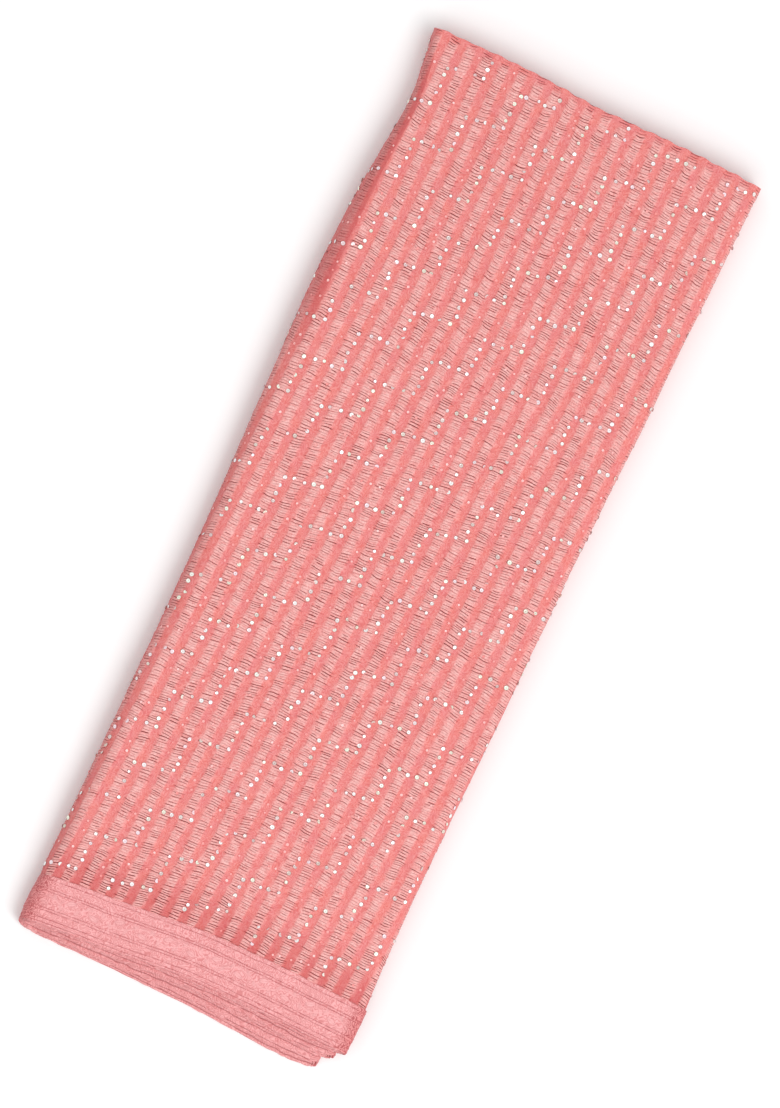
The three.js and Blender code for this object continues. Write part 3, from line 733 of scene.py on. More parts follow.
def sequin_material(colours, name):
    """Silvery film discs with a faint pink or green tinge of painted iridescent reflection, some with a
    dimmer painted reflection than others, which change from one to the next by the tint mask, and shaded
    rims."""
    material, tree, shader = new_material(name, {"Metallic": 0.15, "Specular IOR Level": 0.8})
    tint, rim = attributes(tree, "tint", "rim")
    dull = maths(tree, "FRACT", times(tree, tint, DIM_REFLECTION_TURNS))
    base = paint(tree, colours.sequin_pink,
                 (remap(tree, tint, *SEQUIN_RANGES["silver"]), colours.sequin),
                 (remap(tree, tint, *SEQUIN_RANGES["green"]), colours.sequin_green),
                 (remap(tree, dull, *SEQUIN_RANGES["dull"]), colours.sequin_dim_reflection),
                 (remap(tree, rim, *SEQUIN_RANGES["rim"]), colours.sequin_rim))
    feed(tree, shader, Base_Color=base, Roughness=remap(tree, rim, *SEQUIN_RANGES["roughness"]))
    return material


def veiled_material(colours, name):
    """Sequins under a ply of silk: a pale rose, a little different from one to the next."""
    material, tree, shader = new_material(name, {"Roughness": 0.4})
    base = mix_colour(tree, attributes(tree, "tint")[0], colours.puckered_silk, colours.veiled)
    feed(tree, shader, Base_Color=base)
    return material


FINISHES = {
    "Crinkled silk": silk_material, "Border tape": tape_material, "Border edges": tape_material,
    "Sequin film": sequin_material, "Veiled sequins": veiled_material,
}


# ---- Settings that a user would change
class SariSizes(bpy.types.PropertyGroup):
    pucker_rise: FloatProperty(name="Pucker rise", description="Height of a puckered stripe over a flat one",
                               default=0.6 * MM, unit="LENGTH")
    crease_depth: FloatProperty(name="Crease depth", description="Depth of the deepest creases",
                                default=0.38 * MM, unit="LENGTH")
    tape_relief: FloatProperty(name="Border relief", description="Height of the border's woven lines",
                               default=0.22 * MM, unit="LENGTH")
    sequin_width: FloatProperty(name="Sequin width", description="Diameter of a sequin",
                                default=2.6 * MM, unit="LENGTH")
    sequin_tilt: FloatProperty(name="Sequin tilt", description="How far the sequins lean this way and that",
                               default=math.radians(12), subtype="ANGLE")


def colour_property(name, description, red, green, blue):
    """A colour property from sRGB values of 0 to 255."""
    linear = [c / 255 / 12.92 if c <= 10 else ((c / 255 + 0.055) / 1.055) ** 2.4 for c in (red, green, blue)]
    return FloatVectorProperty(name=name, description=description, subtype="COLOR", size=3, min=0, max=1,
                               default=linear)


class SariColours(bpy.types.PropertyGroup):
    flat_silk: colour_property("Flat stripe", "Silk of the flat stripes", 229, 116, 118)
    flat_warm: colour_property("Flat stripe, warm", "The flat stripes' warmer patches", 235, 118, 110)
    puckered_silk: colour_property("Puckered stripe", "Silk of the puckered stripes", 243, 146, 142)
    # painted highlight on the puckers' tops and their shine; also the slubs' own paleness
    crown: colour_property("Crown", "Silk on top of the puckers", 255, 199, 194)
    # painted shade deep in the creases and in the fine crinkle
    crease: colour_property("Crease", "Silk deep in the creases", 128, 30, 34)
    # painted shade where the silk and the tape turn down round a fold; also the silk's own specks
    speck_and_shade_rose: colour_property("Specks and painted shade", "Silk where it turns down round a fold", 190, 66, 68)
    tape: colour_property("Border", "The border tape", 240, 162, 163)
    tape_line: colour_property("Border shade", "The border's mottle and squiggles", 206, 116, 116)
    # painted shade beside the border's lines; also its veins and speckles
    tape_deep: colour_property("Border groove", "The grooves beside the border's lines", 166, 70, 74)
    # painted shade near the border's folds, and all over the plies' edges
    tape_fold_shade: colour_property("Border end", "The border near its folds", 214, 104, 102)
    leaf: colour_property("Border leaf", "The border's leaves and light squiggles", 252, 188, 188)
    sequin: colour_property("Sequin", "The sequins' film", 252, 252, 250)
    # painted reflection: a dimmer reflection on some sequins
    sequin_dim_reflection: colour_property("Sequin, dim reflection", "The dullest sequins", 208, 176, 170)
    sequin_rim: colour_property("Sequin rim", "The sequins' shaded rims", 120, 88, 80)
    veiled: colour_property("Veiled sequin", "Sequins that show through the silk", 255, 214, 212)
    # painted iridescent reflection: a pink or a green tinge
    sequin_pink: colour_property("Sequin, pink tinge", "The pinkest sequins", 252, 228, 236)
    sequin_green: colour_property("Sequin, green tinge", "The greenest sequins", 244, 250, 226)
    floor: colour_property("Floor", "The floor", 252, 252, 252)


# ---- The field cloth
FIELD_ROWS = {"face": 1290, "spine": 1000, "right_fold": 1100}
PITCH_COLUMNS = (0.0, 0.13, 0.32, 0.5, 0.68, 0.87, 1.0, 1.28, 1.56)     # in pucker widths
SPINE_COLUMNS = 52
FOLD_COLUMNS = 26
# the two lower cloths: packet, columns round the fold and on the flat, rows, width in metres
LOWER_CLOTHS = {
    "middle_fold": (MIDDLE_PACKET, 11, 0, 700, 0.014),
    "under": (LOWEST_PACKET, 11, 68, 200, 0.2),
}
LOWER_START = 3.0                  # where the stripes start on a lower fold
LOWER_RELIEF = 0.5                 # how much of the relief the lower folds keep,
LOWER_ROUND = (0.0, 0.6)           # and none where they lie flat


def stripe_columns(first, count):
    """Places across the cloth, nine to a pitch, denser over the puckers."""
    starts = (first + np.arange(count)) * PITCH
    columns = (starts[:, None] + np.array(PITCH_COLUMNS) * PUCKER).ravel()
    return np.append(columns, (first + count) * PITCH)[None, :]


def spine_places(sec):
    """Places across the cloth from under the packet round the spine to the face."""
    return lerp(spine_end(sec) - sec["lean"], FACE_LEFT, np.linspace(0, 1, SPINE_COLUMNS)[None, :])


def right_fold_places(sec):
    """Places across the cloth from the face round the top packet's fold."""
    start, _, length = top_fold(sec)
    return lerp(FACE_RIGHT, start + length - sec["lean"], np.linspace(0, 1, FOLD_COLUMNS)[None, :])


def finish_field(piece, node):
    finish_piece(piece, "Crinkled silk", [node])


def field_piece(name, places, row_count, node):
    """A stretch of the field cloth: a grid of places across it, given for each section, by stations along
    it, carried by outer_cloth."""
    sizes = bpy.context.scene.sari_sizes
    station, step, depth = field_rows(row_count)
    across = places(section(station)) + 0 * station
    station, step, depth = (column + 0 * across for column in (station, step, depth))
    points, _, masks = outer_cloth(across, station, step, depth, sizes.pucker_rise / MM,
                                   sizes.crease_depth / MM)
    piece = grid_mesh(name, points, station + step, across, masks)
    finish_field(piece, node)


class SARI_OT_face_cloth(bpy.types.Operator):
    """The face of the packet: two widths of crinkled silk, from the seam over the head fold"""
    bl_idname = "sari.face_cloth"
    bl_label = "Face cloth"

    def execute(self, context):
        parts = (("face_cloth_left", FACE_FIRST, FACE_SPLIT),
                 ("face_cloth_right", FACE_FIRST + FACE_SPLIT, FACE_STRIPES - FACE_SPLIT))
        for name, first, count in parts:
            columns = stripe_columns(first, count)
            field_piece(name, lambda sec: columns, FIELD_ROWS["face"], "face_field")
        return {"FINISHED"}


class SARI_OT_side_cloths(bpy.types.Operator):
    """The silk round the spine on the left and round the top packet's fold on the right"""
    bl_idname = "sari.side_cloths"
    bl_label = "Spine and right fold"

    def execute(self, context):
        for side, places in (("spine", spine_places), ("right_fold", right_fold_places)):
            field_piece(f"{side}_cloth", places, FIELD_ROWS[side], f"{side}_field")
        return {"FINISHED"}


class SARI_OT_lower_cloths(bpy.types.Operator):
    """The silk round the middle packet's fold, and the underside turned up round the lowest fold"""
    bl_idname = "sari.lower_cloths"
    bl_label = "Lower folds and underside"

    def execute(self, context):
        sizes = context.scene.sari_sizes
        for side, (packet, arc_columns, flat_columns, rows, width) in LOWER_CLOTHS.items():
            station, step, depth = field_rows(rows)
            sec = section(station)
            x, z, nx, nz, u = lower_curve(sec, packet, arc_columns, flat_columns)
            y = field_y(station, share_across(sec, x), fold_level(sec, packet, z), x) + step
            height, masks = stripes(u + LOWER_START, y, sizes.pucker_rise / MM, sizes.crease_depth / MM)
            relief = LOWER_RELIEF * height * smooth(*LOWER_ROUND, np.abs(nx))
            out = relief - depth * np.sign(nz + 0.5)
            # painted shade where the lower cloths turn down
            masks["turn"] = turned(nz)
            piece = grid_mesh(f"{side}_cloth", moved_out(x, y, z, nx, nz, out), y, u, masks)
            finish_field(piece, f"{side}_field")
        return {"FINISHED"}


# ---- The border tape
TAPE_LINES = (1.7, 7.0, 8.5, 18.2, 19.8, 24.2, 26.6)
TAPE_RIDGE = 0.45                  # half width of a raised line, beside which lies its painted shade
# the painted shade beside each raised line: its width, and its darkness as depth
TAPE_GROOVE = {"width": 0.24, "depth": 0.75}
TAPE_GROUND = 1.7                  # repeat of the fine diamonds
TAPE_RELIEF = {"ridge": 0.9, "leaf": 0.5, "stem": 0.45, "vein": -0.45, "ground": 0.12}
TAPE_SLACK = 1.0                   # how far the tape stands off at the right fold
TAPE_ENDS = {"left": (1, 16), "right": (2, 10)}     # painted shade: the tape is darker this near its folds
TAPE_DRAPED = {"height": (0.5, 0.9), "place": (12, 28)}        # where its soft unevenness grows
TAPE_STEP = 0.3                    # between rows
TAPE_TURN = {"radius": 0.3, "rows": 6, "back": 5.0, "tuck": 0.5}        # its thin edge, and under the field
LEAF_REPEAT = 30.0
SCROLL = ((8.6, 9.2), (17.2, 17.9))                 # the scroll's two soft sides
STEM = {"middle": 13.3, "swing": 2.5, "width": 0.45}
VEIN = {"width": 0.25, "dark": 0.3}
VEIN_RIM = {"width": 0.16, "length": 0.6}
LEAF_SIDE = (-0.15, 0.25)
# leaves: place along the repeat, place across the tape, length, width, turn
LEAVES = (
    (7.5, 11.6, 6.6, 3.0, -18), (2.6, 15.7, 3.8, 1.8, 48), (12.4, 15.9, 3.8, 1.8, -42),
    (22.5, 15.0, 6.6, 3.0, 18), (17.6, 10.9, 3.8, 1.8, -48), (27.4, 10.7, 3.8, 1.8, 42),
)
# stretches of tape: columns round a fold or over the face, and on the flat, width in metres, lower packet
TAPES = {
    "face": (400, 0, 0.2, None), "spine": (60, 0, 0.03, None), "right_fold": (36, 0, 0.016, None),
    "middle_fold": (14, 0, 0.013, MIDDLE_PACKET), "under": (14, 60, 0.2, LOWEST_PACKET),
}


def tape_pattern(u, w):
    """The tape's weave at u along it and w from its seam: raised lines, each with a dark line of painted
    shade beside it, a fine diamond ground, and a waving stem with pointed leaves, each leaf two arcs that
    meet and a vein. Gives the height, the dark line mask (the painted shade and the veins) and the leaf
    mask."""
    wander = ripple("tape", u, w)
    line, ridge, leaf, vein = (np.zeros_like(u) for _ in range(4))
    for place in TAPE_LINES:
        away = w + wander + ripple("tape_line", u, place) - place
        ridge += bell(away, TAPE_RIDGE)
        # painted shade beside the raised line
        depth = TAPE_GROOVE["depth"] + ripple("groove_depth", u, place)
        line += bell(away - TAPE_RIDGE, TAPE_GROOVE["width"]) * depth
    ground = np.sin(2 * math.pi * (u + w) / TAPE_GROUND) * np.sin(2 * math.pi * (u - w) / TAPE_GROUND)
    swing = STEM["swing"] * np.sin(2 * math.pi * u / LEAF_REPEAT)
    stem = bell(w - STEM["middle"] - swing, STEM["width"])
    for along, across, length, width, turn in LEAVES:
        du = (u - along + LEAF_REPEAT / 2) % LEAF_REPEAT - LEAF_REPEAT / 2
        dw = w - across
        c, s = math.cos(math.radians(turn)), math.sin(math.radians(turn))
        a, b = du * c + dw * s, -du * s + dw * c
        edge = 1 - (2 * a / length) ** 2 - np.abs(2 * b / width)
        body = smooth(*LEAF_SIDE, edge)
        rim = bell(edge, VEIN_RIM["width"]) * (np.abs(a) < length * VEIN_RIM["length"])
        leaf = np.maximum(leaf, body)
        vein = np.maximum(vein, np.maximum(body * bell(b, VEIN["width"]), rim))
    scroll = smooth(*SCROLL[0], w) * (1 - smooth(*SCROLL[1], w))
    leaf, vein, stem = leaf * scroll, vein * scroll, stem * scroll
    layers = {"ridge": ridge, "leaf": leaf, "stem": stem, "vein": vein, "ground": ground * (1 - leaf)}
    height = sum(TAPE_RELIEF[name] * layer for name, layer in layers.items())
    return height, np.clip(line + VEIN["dark"] * vein, 0, 1), np.clip(leaf + stem, 0, 1)


def tape_rows():
    """Places from the seam to the edge, and round a thin edge: half a circle and a short way back."""
    radius = TAPE_TURN["radius"]
    flat = np.arange(0, BORDER - radius, TAPE_STEP)
    turn = np.linspace(0, math.pi, TAPE_TURN["rows"])
    edge = BORDER - radius + radius * np.sin(turn)
    w = np.concatenate([[-TAPE_TURN["tuck"]], flat, edge, [BORDER - TAPE_TURN["back"]]])
    depth = np.concatenate([[TAPE_TURN["tuck"]], 0 * flat, radius * (1 - np.cos(turn)), [2 * radius]])
    return w[:, None], depth[:, None]


def upper_tape(sec, stretch, columns):
    """A stretch of tape on the outer ply, from its start to its end in the place s of top_curve: the
    points, their normals and s."""
    start, _, length = top_fold(sec)
    ends = {"face": (spine_tangent(sec), start), "spine": (spine_end(sec), spine_tangent(sec)),
            "right_fold": (start, start + length)}
    s = lerp(*ends[stretch], np.linspace(0, 1, columns)[None, :])
    return *top_curve(sec, s), s


def tape_piece(stretch, columns, flat_columns, width, packet):
    """A stretch of tape: the curve across the packet at each row, the row's place from seam to edge, and
    the tape's relief moved out from it."""
    w, depth = tape_rows()
    sec = section(SEAM - w)
    if packet:
        x, z, nx, nz, u = lower_curve(sec, packet, columns, flat_columns)
        level = fold_level(sec, packet, z)
    else:
        x, z, nx, nz, u = upper_tape(sec, stretch, columns)
        level = level_at(sec, x, z)
    y = foot_at(share_across(sec, x), level) + BORDER - w + ripple("tape_edge", x, z)
    height, dark, leaf = tape_pattern(u, w)
    out = height * bpy.context.scene.sari_sizes.tape_relief / MM - depth
    if not packet:
        out = out + drape(x, y) * smooth(*TAPE_DRAPED["height"], z / sec["height"])
        out = out + ripple("tape_drape", x, y) * smooth(*TAPE_DRAPED["place"], w)
        out = out + TAPE_SLACK * smooth(*OUTWARDS, nx)
    # painted shade near the tape's folds and where it turns down
    ends = 1 - smooth(*TAPE_ENDS["left"], x - sec["left"]) * smooth(*TAPE_ENDS["right"], sec["right"] - x)
    masks = {"line": dark, "leaf": leaf, "turn": turned(nz), "ends": ends}
    points = moved_out(x, y, z, nx, nz, out)
    piece = grid_mesh(f"{stretch}_tape", points, -w + 0 * x, u, masks, flip=True)
    finish_piece(piece, "Border tape", [f"{stretch}_border"])


class SARI_OT_border(bpy.types.Operator):
    """The woven border tape on the face, round the spine and the folds, and on the underside"""
    bl_idname = "sari.border"
    bl_label = "Border tape"

    def execute(self, context):
        for stretch, details in TAPES.items():
            tape_piece(stretch, *details)
        return {"FINISHED"}


# ---- The hidden plies: doubled plies that turn round the spine and round the packets' folds
PLY_MIDDLE = 0.0                   # x where the left and the right strips of a ply meet
FLAT_POINTS = 42                   # points along a ply's level stretch
ARC_POINTS = 15
PLY_FILL = 0.40                    # half a doubled ply's thickness, in shares of its room
PLY_CLEAR = 0.05                   # least height of a ply
BUNCHES_UP = 8                     # bunches of plies in the packet's height, each with a wave of its own
HEAD_PLY_IN = 0.9                  # how far the plies lie inside the head fold
PLY_PUCKER = 0.6                   # the plies' tone at the head: mostly the puckered stripe's
# a ply's edge in rows, from its side to its middle: least place from the edge inwards, place past the
# edge of the ply above, place through the ply, and how much painted shade lies there, between the plies
FOOT_SIDE = (
    (16.0, -99, 1.0, 0.0), (2.1, 0.8, 1.0, 0.3), (1.6, 0.2, 1.0, 1.0), (1.1, -0.4, 1.0, 0.9),
    (0.8, -0.95, 1.0, 0.0), (0.6, -1.5, 1.0, 0.0), (0.3, -99, 0.85, 0.0), (0.05, -99, 0.45, 0.0),
)
FOOT_EDGE = (*FOOT_SIDE, (0.35, -99, 0.0, 0.8), *((*row[:2], -row[2], row[3]) for row in FOOT_SIDE[::-1]))
HEAD_EDGE = (
    (16.0, -99, 1.0, 0.0), (2.0, -99, 1.0, 0.6), (0.5, -99, 0.9, 0.1), (0.12, -99, 0.5, 0.0),
    (0.0, -99, 0.0, 0.0), (0.12, -99, -0.5, 0.0), (0.5, -99, -0.9, 0.2), (2.0, -99, -1.0, 0.8),
)


def ply_height(sec, ply):
    return (ply + 0.5) / PLY_COUNT * sec["height"]


def ply_turn(sec, top, low, end, half_room, reach, side):
    """A doubled ply's path: along the level top to the turn, half an ellipse, and back along the level
    low. Nested turns share their centre, and their reach shrinks with their height."""
    high_z, low_z = ply_height(sec, top), ply_height(sec, low)
    middle, half = (high_z + low_z) / 2, (high_z - low_z) / 2
    share = np.linspace(0, 1, FLAT_POINTS)[None, :]
    angle = np.linspace(0, math.pi, ARC_POINTS)[None, :]
    x, z, nx, nz = ellipse(end, middle, reach * half / half_room, half, angle, side)
    x_out, x_back = lerp(PLY_MIDDLE, end, share[:, :-1]), lerp(end, PLY_MIDDLE, share[:, 1:])
    x, z = np.hstack([x_out, x, x_back]), np.hstack([high_z + 0 * x_out, z, low_z + 0 * x_back])
    return x, z, np.hstack([0 * x_out, nx, 0 * x_back]), np.hstack([1 + 0 * x_out, nz, -1 + 0 * x_back])


def ply_flat(sec, ply, end):
    """A doubled ply that runs level from the middle to a packet's fold."""
    x = lerp(PLY_MIDDLE, end, np.linspace(0, 1, FLAT_POINTS)[None, :])
    return x, ply_height(sec, ply) + 0 * x, 0 * x, 1 + 0 * x


def ply_paths(sec):
    """All the hidden plies: nested turns round the spine, in the top packet's fold and in each lower
    packet's, and the four that lie against those folds' own outer plies. A packet's own outermost ply is
    the field cloth and the border, so its turns start one further in."""
    height, last = sec["height"], PLY_COUNT - 1
    half, quarter, eighth = PLY_COUNT // 2, PLY_COUNT // 4, PLY_COUNT // 8
    top_start, _, _ = top_fold(sec)
    paths = [ply_turn(sec, last - i, i, spine_tangent(sec), height / 2, sec["spine"], -1)
             for i in range(1, half)]
    paths += [ply_turn(sec, last - i, half + i, top_start, height / 4, sec["fold"], 1)
              for i in range(1, quarter)]
    starts = []
    for packet, first in ((MIDDLE_PACKET, quarter), (LOWEST_PACKET, 0)):
        starts.append(lower_fold(sec, packet)[0])
        paths += [ply_turn(sec, first + quarter - 1 - i, first + i, starts[-1], height / 8, LOWER_REACH, 1)
                  for i in range(1, eighth)]
    against = ((half, top_start), (half - 1, starts[0]), (quarter, starts[0]), (quarter - 1, starts[1]))
    return paths + [ply_flat(sec, ply, end) for ply, end in against]


def ply_wave(end, x, share):
    """How a ply's edge waves at the foot or head: a slow wave that a bunch shares and a quicker one."""
    return ripple(f"{end}_bunch", x, np.floor(share * BUNCHES_UP)) + ripple(f"{end}_ply", x, share)


def foot_edge(x, share, place):
    """Where the plies' edges lie at the foot: further out with depth, in steps, and waving."""
    return foot_at(place, look_up(BUNCHES, "level", share)) + ply_wave("foot", x, share)


def ply_y(end, x, share, place, least, past):
    """Where a ply's rows lie along the packet. At the foot some rows follow the edge of the ply above."""
    if end == "head":
        return look_up(ENDS, "head", place) - HEAD_PLY_IN + ply_wave("head", x, share) - least
    edge = foot_edge(x, share, place)
    step = np.maximum(foot_edge(x, share + 1 / PLY_COUNT, place) - edge, 0)
    return edge + np.maximum(least, step + past)


def ply_mesh(end):
    """The plies' ends as strips: each path across, by rows that come along the packet, round the thin
    edge and a little way back, with painted shade where the table says."""
    foot = end == "foot"
    least, past, through, dark = np.array(FOOT_EDGE if foot else HEAD_EDGE).T[:, :, None]
    sec = section(SEAM - BORDER + least if foot else HEAD - least)
    half = PLY_FILL * sec["height"] / PLY_COUNT
    vertices, quads, cloth, painted_shades, count = [], [], [], [], 0
    for x, z, nx, nz in ply_paths(sec):
        share = np.clip(z / sec["height"], 0, 1)
        y = ply_y(end, x, share, share_across(sec, x), least, past)
        points = moved_out(x, y, z + ripple("ply_droop", x, share), nx, nz, half * through, PLY_CLEAR)
        face = grid_quads(count + np.arange(x.size).reshape(x.shape))
        outward = nz[0, 0] * (x[0, 1] - x[0, 0]) * (-1 if foot else 1)
        quads.append(face if outward > 0 else face[:, ::-1])
        vertices.append(points.reshape(-1, 3))
        cloth.append(np.stack([x, y]).reshape(2, -1))
        painted_shades.append((dark + 0 * x).ravel())
        count += x.size
    dark, blank = np.concatenate(painted_shades), np.zeros(count)
    masks = dict.fromkeys(("leaf", "count", "crown", "turn", "ends"), blank)
    # the painted shade between the plies: as the tape's line and as the silk's crease depth
    masks |= {"line": dark, "deep": dark, "pucker": blank + PLY_PUCKER}
    return build_mesh(f"{end}_plies", np.vstack(vertices), np.vstack(quads), *np.hstack(cloth), masks)


class SARI_OT_plies(bpy.types.Operator):
    """The folded layers that show at the foot and at the head"""
    bl_idname = "sari.plies"
    bl_label = "Plies"

    def execute(self, context):
        foot, head = ply_mesh("foot"), ply_mesh("head")
        finish_piece(foot, "Border edges", ["inner_layers"])
        finish_piece(head, "Crinkled silk", ["inner_layers"])
        return {"FINISHED"}


# ---- Sequins: stepped lines that run down to the left, a repeat of four stripes by two steps
STEP_ROWS, STEP_COLUMNS = (-3, 28), (-6, 20)        # more than the face takes
STEP_HEIGHT = 23.1                 # from one row of steps to the next
STEP_RISE = 0.066                  # the rows rise to the right
STEP_START = (6.2, 275.0)          # a step's top corner, across and along the cloth
STEP_SHORT = 1.4                   # how far a step ends above the next row,
STEP_SINK = 2.2                    # and how far its line sinks to the left
RUN_COUNT = 4                      # sequins down a step, and as many along it
SEQUIN_SHARE = 0.96                # the rest are lost
SEQUIN_SCATTER = (0.6, 0.65)       # across and along
SEQUIN_SIZES = (0.78, 1.08)
SEQUIN_SEAT = 1.3                  # where a sequin rests on the cloth, on each side of its middle
SEQUIN_CLEAR = 0.14
SEQUIN_ENDS = 3.0                  # none lies nearer to the seam and the head fold
SPINE_REACH, FOLD_REACH = 0.4, 0.6                  # shares: from the spine's lower end, and round the fold
# the sequins of the ply beneath, which show through the silk as paler spots
VEILED = {"shift": (-8.5, 11.0), "share": 0.5, "size": 0.62, "tilt": 0.03}
SEQUIN_SEED = 907
SEQUIN_SIDES = 12
# rings of a sequin: share of its radius, height in mm
SEQUIN_RINGS = ((0.14, 0.06), (0.62, 0.02), (0.86, 0.07), (1.0, 0.22))


def step_places():
    """Where the sequins lie: each step comes down the right side of a puckered stripe and goes two
    stripes to the left; the next row of steps starts there, and rows repeat every four stripes."""
    counts = np.arange(*STEP_ROWS), np.arange(*STEP_COLUMNS), np.arange(2 * RUN_COUNT)
    rows, columns, number = np.meshgrid(*counts, indexing="ij")
    corner_u = STEP_START[0] + 4 * PITCH * columns - 2 * PITCH * rows
    corner_v = STEP_START[1] - STEP_HEIGHT * rows
    down = np.minimum(number, RUN_COUNT) / RUN_COUNT
    left = np.maximum(number - RUN_COUNT, 0) / RUN_COUNT
    fall = (STEP_HEIGHT - STEP_SHORT) * down + STEP_SINK * left
    v = corner_v + STEP_RISE * (corner_u - STEP_START[0]) - fall
    return (corner_u - 2 * PITCH * left).ravel(), v.ravel()


class SARI_OT_sequins(bpy.types.Operator):
    """Cupped film sequins with a hole, sewn on in stepped lines over the face and round both sides"""
    bl_idname = "sari.sequins"
    bl_label = "Sequins"

    def execute(self, context):
        sizes = context.scene.sari_sizes
        rng = np.random.default_rng(SEQUIN_SEED)
        u, v = step_places()
        sew("sequins", u, v, SEQUIN_SHARE, rng, sizes.sequin_width, sizes.sequin_tilt, "Sequin film")
        sew("veiled_sequins", u + VEILED["shift"][0], v + VEILED["shift"][1], VEILED["share"], rng,
            sizes.sequin_width * VEILED["size"], VEILED["tilt"], "Veiled sequins")
        return {"FINISHED"}


def sew(name, u, v, share, rng, width, tilt, finish):
    """Places a share of the sequins on the outer cloth near the places u and v, leaning with the pucker's
    edge: each rests on the cloth at its two sides."""
    u = u + rng.normal(0, SEQUIN_SCATTER[0], len(u))
    v = v + rng.normal(0, SEQUIN_SCATTER[1], len(v))
    kept = rng.uniform(0, 1, len(u)) < share
    sec = section(v)
    s = u + sec["lean"]
    start, _, length = top_fold(sec)
    shown = kept & (v > SEAM + SEQUIN_ENDS) & (v < HEAD - SEQUIN_ENDS)
    shown &= s > lerp(spine_end(sec), spine_tangent(sec), SPINE_REACH)
    shown &= s < start + FOLD_REACH * length
    u, v = u[shown, None], v[shown, None]
    still, rise = 0 * u, bpy.context.scene.sari_sizes.pucker_rise / MM
    before, under, after = (stripes(u + side, v, rise, 0)[0] for side in (-SEQUIN_SEAT, 0, SEQUIN_SEAT))
    lift = np.maximum((before + after) / 2 - under, 0) + SEQUIN_CLEAR
    points, normals, _ = outer_cloth(u, v, still, still, rise, 0.0, lift[..., None])
    points, normals = points[:, 0], normals[:, 0]
    slope = (after - before)[:, 0] / (2 * SEQUIN_SEAT)
    normals = normals - slope[:, None] * np.stack([normals[:, 2], 0 * slope, -normals[:, 0]], axis=-1)
    finish_piece(sequin_mesh(name, points, normals, rng, width / MM / 2, tilt), finish)


def sequin_mesh(name, points, normals, rng, radius, tilt):
    """One mesh of many sequins: each is rings of points round its normal, tilted a little at random,
    its wide outer rings higher than the middle one, so that it is a shallow cup with a hole."""
    count, rings = len(points), len(SEQUIN_RINGS)
    normal = normals + rng.normal(0, tilt, (count, 3))
    normal /= np.linalg.norm(normal, axis=1, keepdims=True)
    first = np.cross(normal, np.array([0.0, 1.0, 0.0]))
    first /= np.linalg.norm(first, axis=1, keepdims=True)
    second = np.cross(normal, first)
    spin = rng.uniform(0, 2 * math.pi, (count, 1, 1))
    size = rng.uniform(*SEQUIN_SIZES, (count, 1, 1)) * radius
    angle = spin + np.linspace(0, 2 * math.pi, SEQUIN_SIDES, endpoint=False)[None, None, :]
    shares, heights = np.array(SEQUIN_RINGS).T[:, None, :, None]
    ring, high = shares * size, heights + 0 * angle
    flat = ring[..., None] * (np.cos(angle)[..., None] * first[:, None, None, :]
                              + np.sin(angle)[..., None] * second[:, None, None, :])
    vertices = points[:, None, None, :] + flat + high[..., None] * normal[:, None, None, :]
    index = np.arange(count * rings * SEQUIN_SIDES).reshape(count, rings, SEQUIN_SIDES)
    following = np.roll(index, -1, axis=2)
    quads = np.stack([index[:, :-1], index[:, 1:], following[:, 1:], following[:, :-1]], axis=-1)
    tint = np.repeat(rng.uniform(0, 1, count), rings * SEQUIN_SIDES)
    rim = np.tile(np.repeat(np.linspace(0, 1, rings), SEQUIN_SIDES), count)
    places = vertices.reshape(-1, 3)
    masks = {"tint": tint, "rim": rim}
    return build_mesh(name, places, quads.reshape(-1, 4), places[:, 0], places[:, 1], masks)


# ---- The stage: floor, lights and camera
TURN = 24.6                        # degrees by which the packet leans in the view
VIEW_MIDDLE = (0.9, 0.0)           # where the camera looks, in the tables' millimetres
PIXEL = 0.5785                     # millimetres to a pixel at the face
VIEW_HEIGHT_PIXELS = 1108
CAMERA_DISTANCE = 3400.0
FACE_HEIGHT = 24.0
SENSOR = 36.0
# in metres: half the floor's width and its place, how far the camera sees, and the lights' places, aim
# and widths, with their power in watts
FLOOR = {"half": 4.0, "below": 0.0002, "roughness": 0.9}
CAMERA_REACH = 30
SKY_STRENGTH = 0.74
LIGHTS = (("Key", (2.1, -0.7, 3.5), 2.4, 72), ("Fill", (0.2, -2.4, 3.4), 2.4, 14))
LIGHT_AIM = (0, 0, 0.01)


def area_light(name, place, width, power):
    """A round soft light at a place, aimed at the packet."""
    lamp = bpy.data.lights.new(name, "AREA")
    lamp.shape = "DISK"
    lamp.size = width
    lamp.energy = power
    holder = add_object(name, lamp)
    holder.location = place
    holder.rotation_euler = (Vector(LIGHT_AIM) - Vector(place)).to_track_quat("-Z", "Y").to_euler()


def make_floor(scene):
    mesh = bpy.data.meshes.new("floor")
    half = FLOOR["half"]
    corners = [(-half, -half, 0), (half, -half, 0), (half, half, 0), (-half, half, 0)]
    mesh.from_pydata(corners, [], [(0, 1, 2, 3)])
    colour = (*scene.sari_colours.floor, 1)
    mesh.materials.append(new_material("Floor", {"Base Color": colour, "Roughness": FLOOR["roughness"]})[0])
    floor = add_object("floor", mesh)
    floor.location.z = -FLOOR["below"]


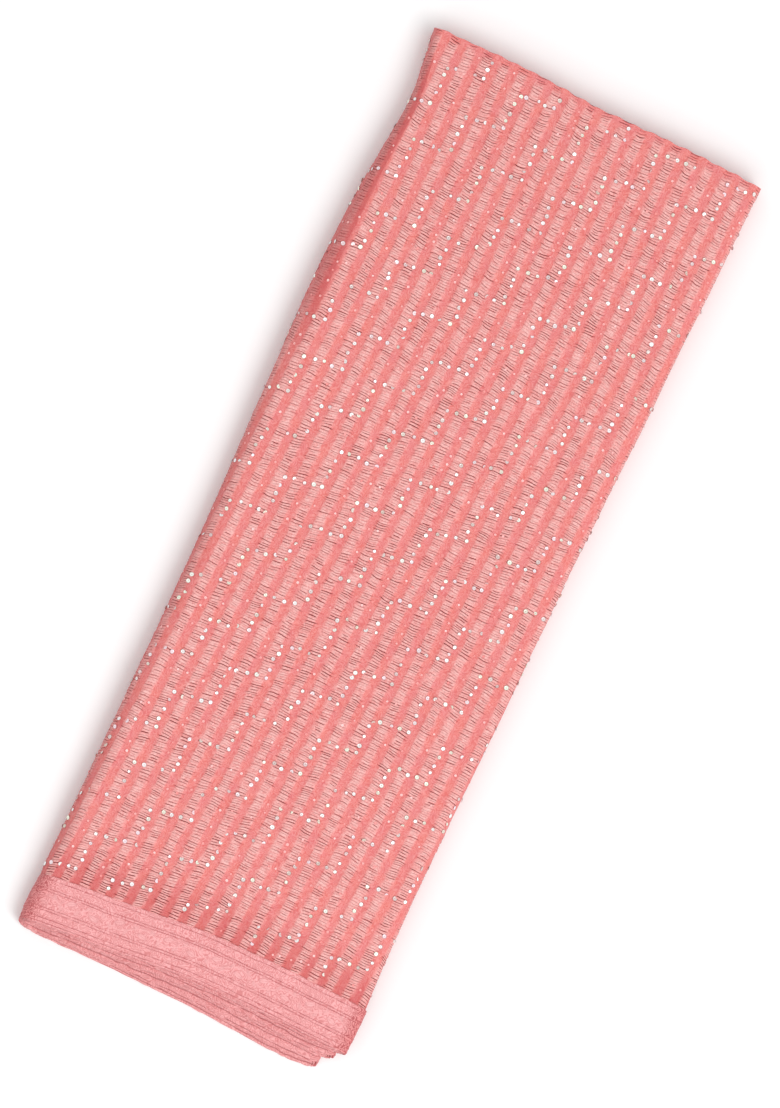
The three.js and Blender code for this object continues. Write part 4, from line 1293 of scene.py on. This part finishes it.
def make_camera(scene):
    """Straight down, turned so that the packet leans as it lies; the lens gives the view's height."""
    lens = bpy.data.cameras.new("Camera")
    lens.sensor_width = SENSOR
    lens.lens = SENSOR * CAMERA_DISTANCE / (VIEW_HEIGHT_PIXELS * PIXEL)
    lens.clip_end = CAMERA_REACH
    camera = add_object("Camera", lens)
    camera.location = ((VIEW_MIDDLE[0] + PACKET_SHIFT[0]) * MM, (VIEW_MIDDLE[1] + PACKET_SHIFT[1]) * MM,
                       (CAMERA_DISTANCE + FACE_HEIGHT) * MM)
    camera.rotation_euler = (0, 0, math.radians(TURN))
    scene.camera = camera


class SARI_OT_stage(bpy.types.Operator):
    """A pale floor, soft studio light and a camera that looks straight down"""
    bl_idname = "sari.stage"
    bl_label = "Stage"

    def execute(self, context):
        scene = context.scene
        scene.view_settings.view_transform = "Standard"
        make_floor(scene)
        scene.world = bpy.data.worlds.new("Studio")
        scene.world.use_nodes = True
        back = scene.world.node_tree.nodes["Background"]
        back.inputs["Color"].default_value = (1, 1, 1, 1)
        back.inputs["Strength"].default_value = SKY_STRENGTH
        for light in LIGHTS:
            area_light(*light)
        make_camera(scene)
        return {"FINISHED"}


class SARI_PT_panel(bpy.types.Panel):
    """Lists the pieces and their settings"""
    bl_label = "Folded silk sari"
    bl_idname = "SARI_PT_panel"
    bl_space_type = "VIEW_3D"
    bl_region_type = "UI"
    bl_category = "Sari"

    def draw(self, context):
        for settings in (context.scene.sari_sizes, context.scene.sari_colours):
            for name in settings.__annotations__:
                self.layout.prop(settings, name)
        for operator in OPERATORS:
            self.layout.operator(operator.bl_idname)


OPERATORS = (SARI_OT_face_cloth, SARI_OT_side_cloths, SARI_OT_lower_cloths, SARI_OT_border, SARI_OT_plies,
             SARI_OT_sequins, SARI_OT_stage)
CLASSES = (SariSizes, SariColours, *OPERATORS, SARI_PT_panel)


def register():
    for cls in CLASSES:
        bpy.utils.register_class(cls)
    bpy.types.Scene.sari_sizes = PointerProperty(type=SariSizes)
    bpy.types.Scene.sari_colours = PointerProperty(type=SariColours)


def unregister():
    del bpy.types.Scene.sari_colours
    del bpy.types.Scene.sari_sizes
    for cls in reversed(CLASSES):
        bpy.utils.unregister_class(cls)


def main():
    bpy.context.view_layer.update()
    register()
    bpy.ops.sari.face_cloth()
    bpy.ops.sari.side_cloths()
    bpy.ops.sari.lower_cloths()
    bpy.ops.sari.border()
    bpy.ops.sari.plies()
    bpy.ops.sari.sequins()
    bpy.ops.sari.stage()


if __name__ == "__main__":
    main()
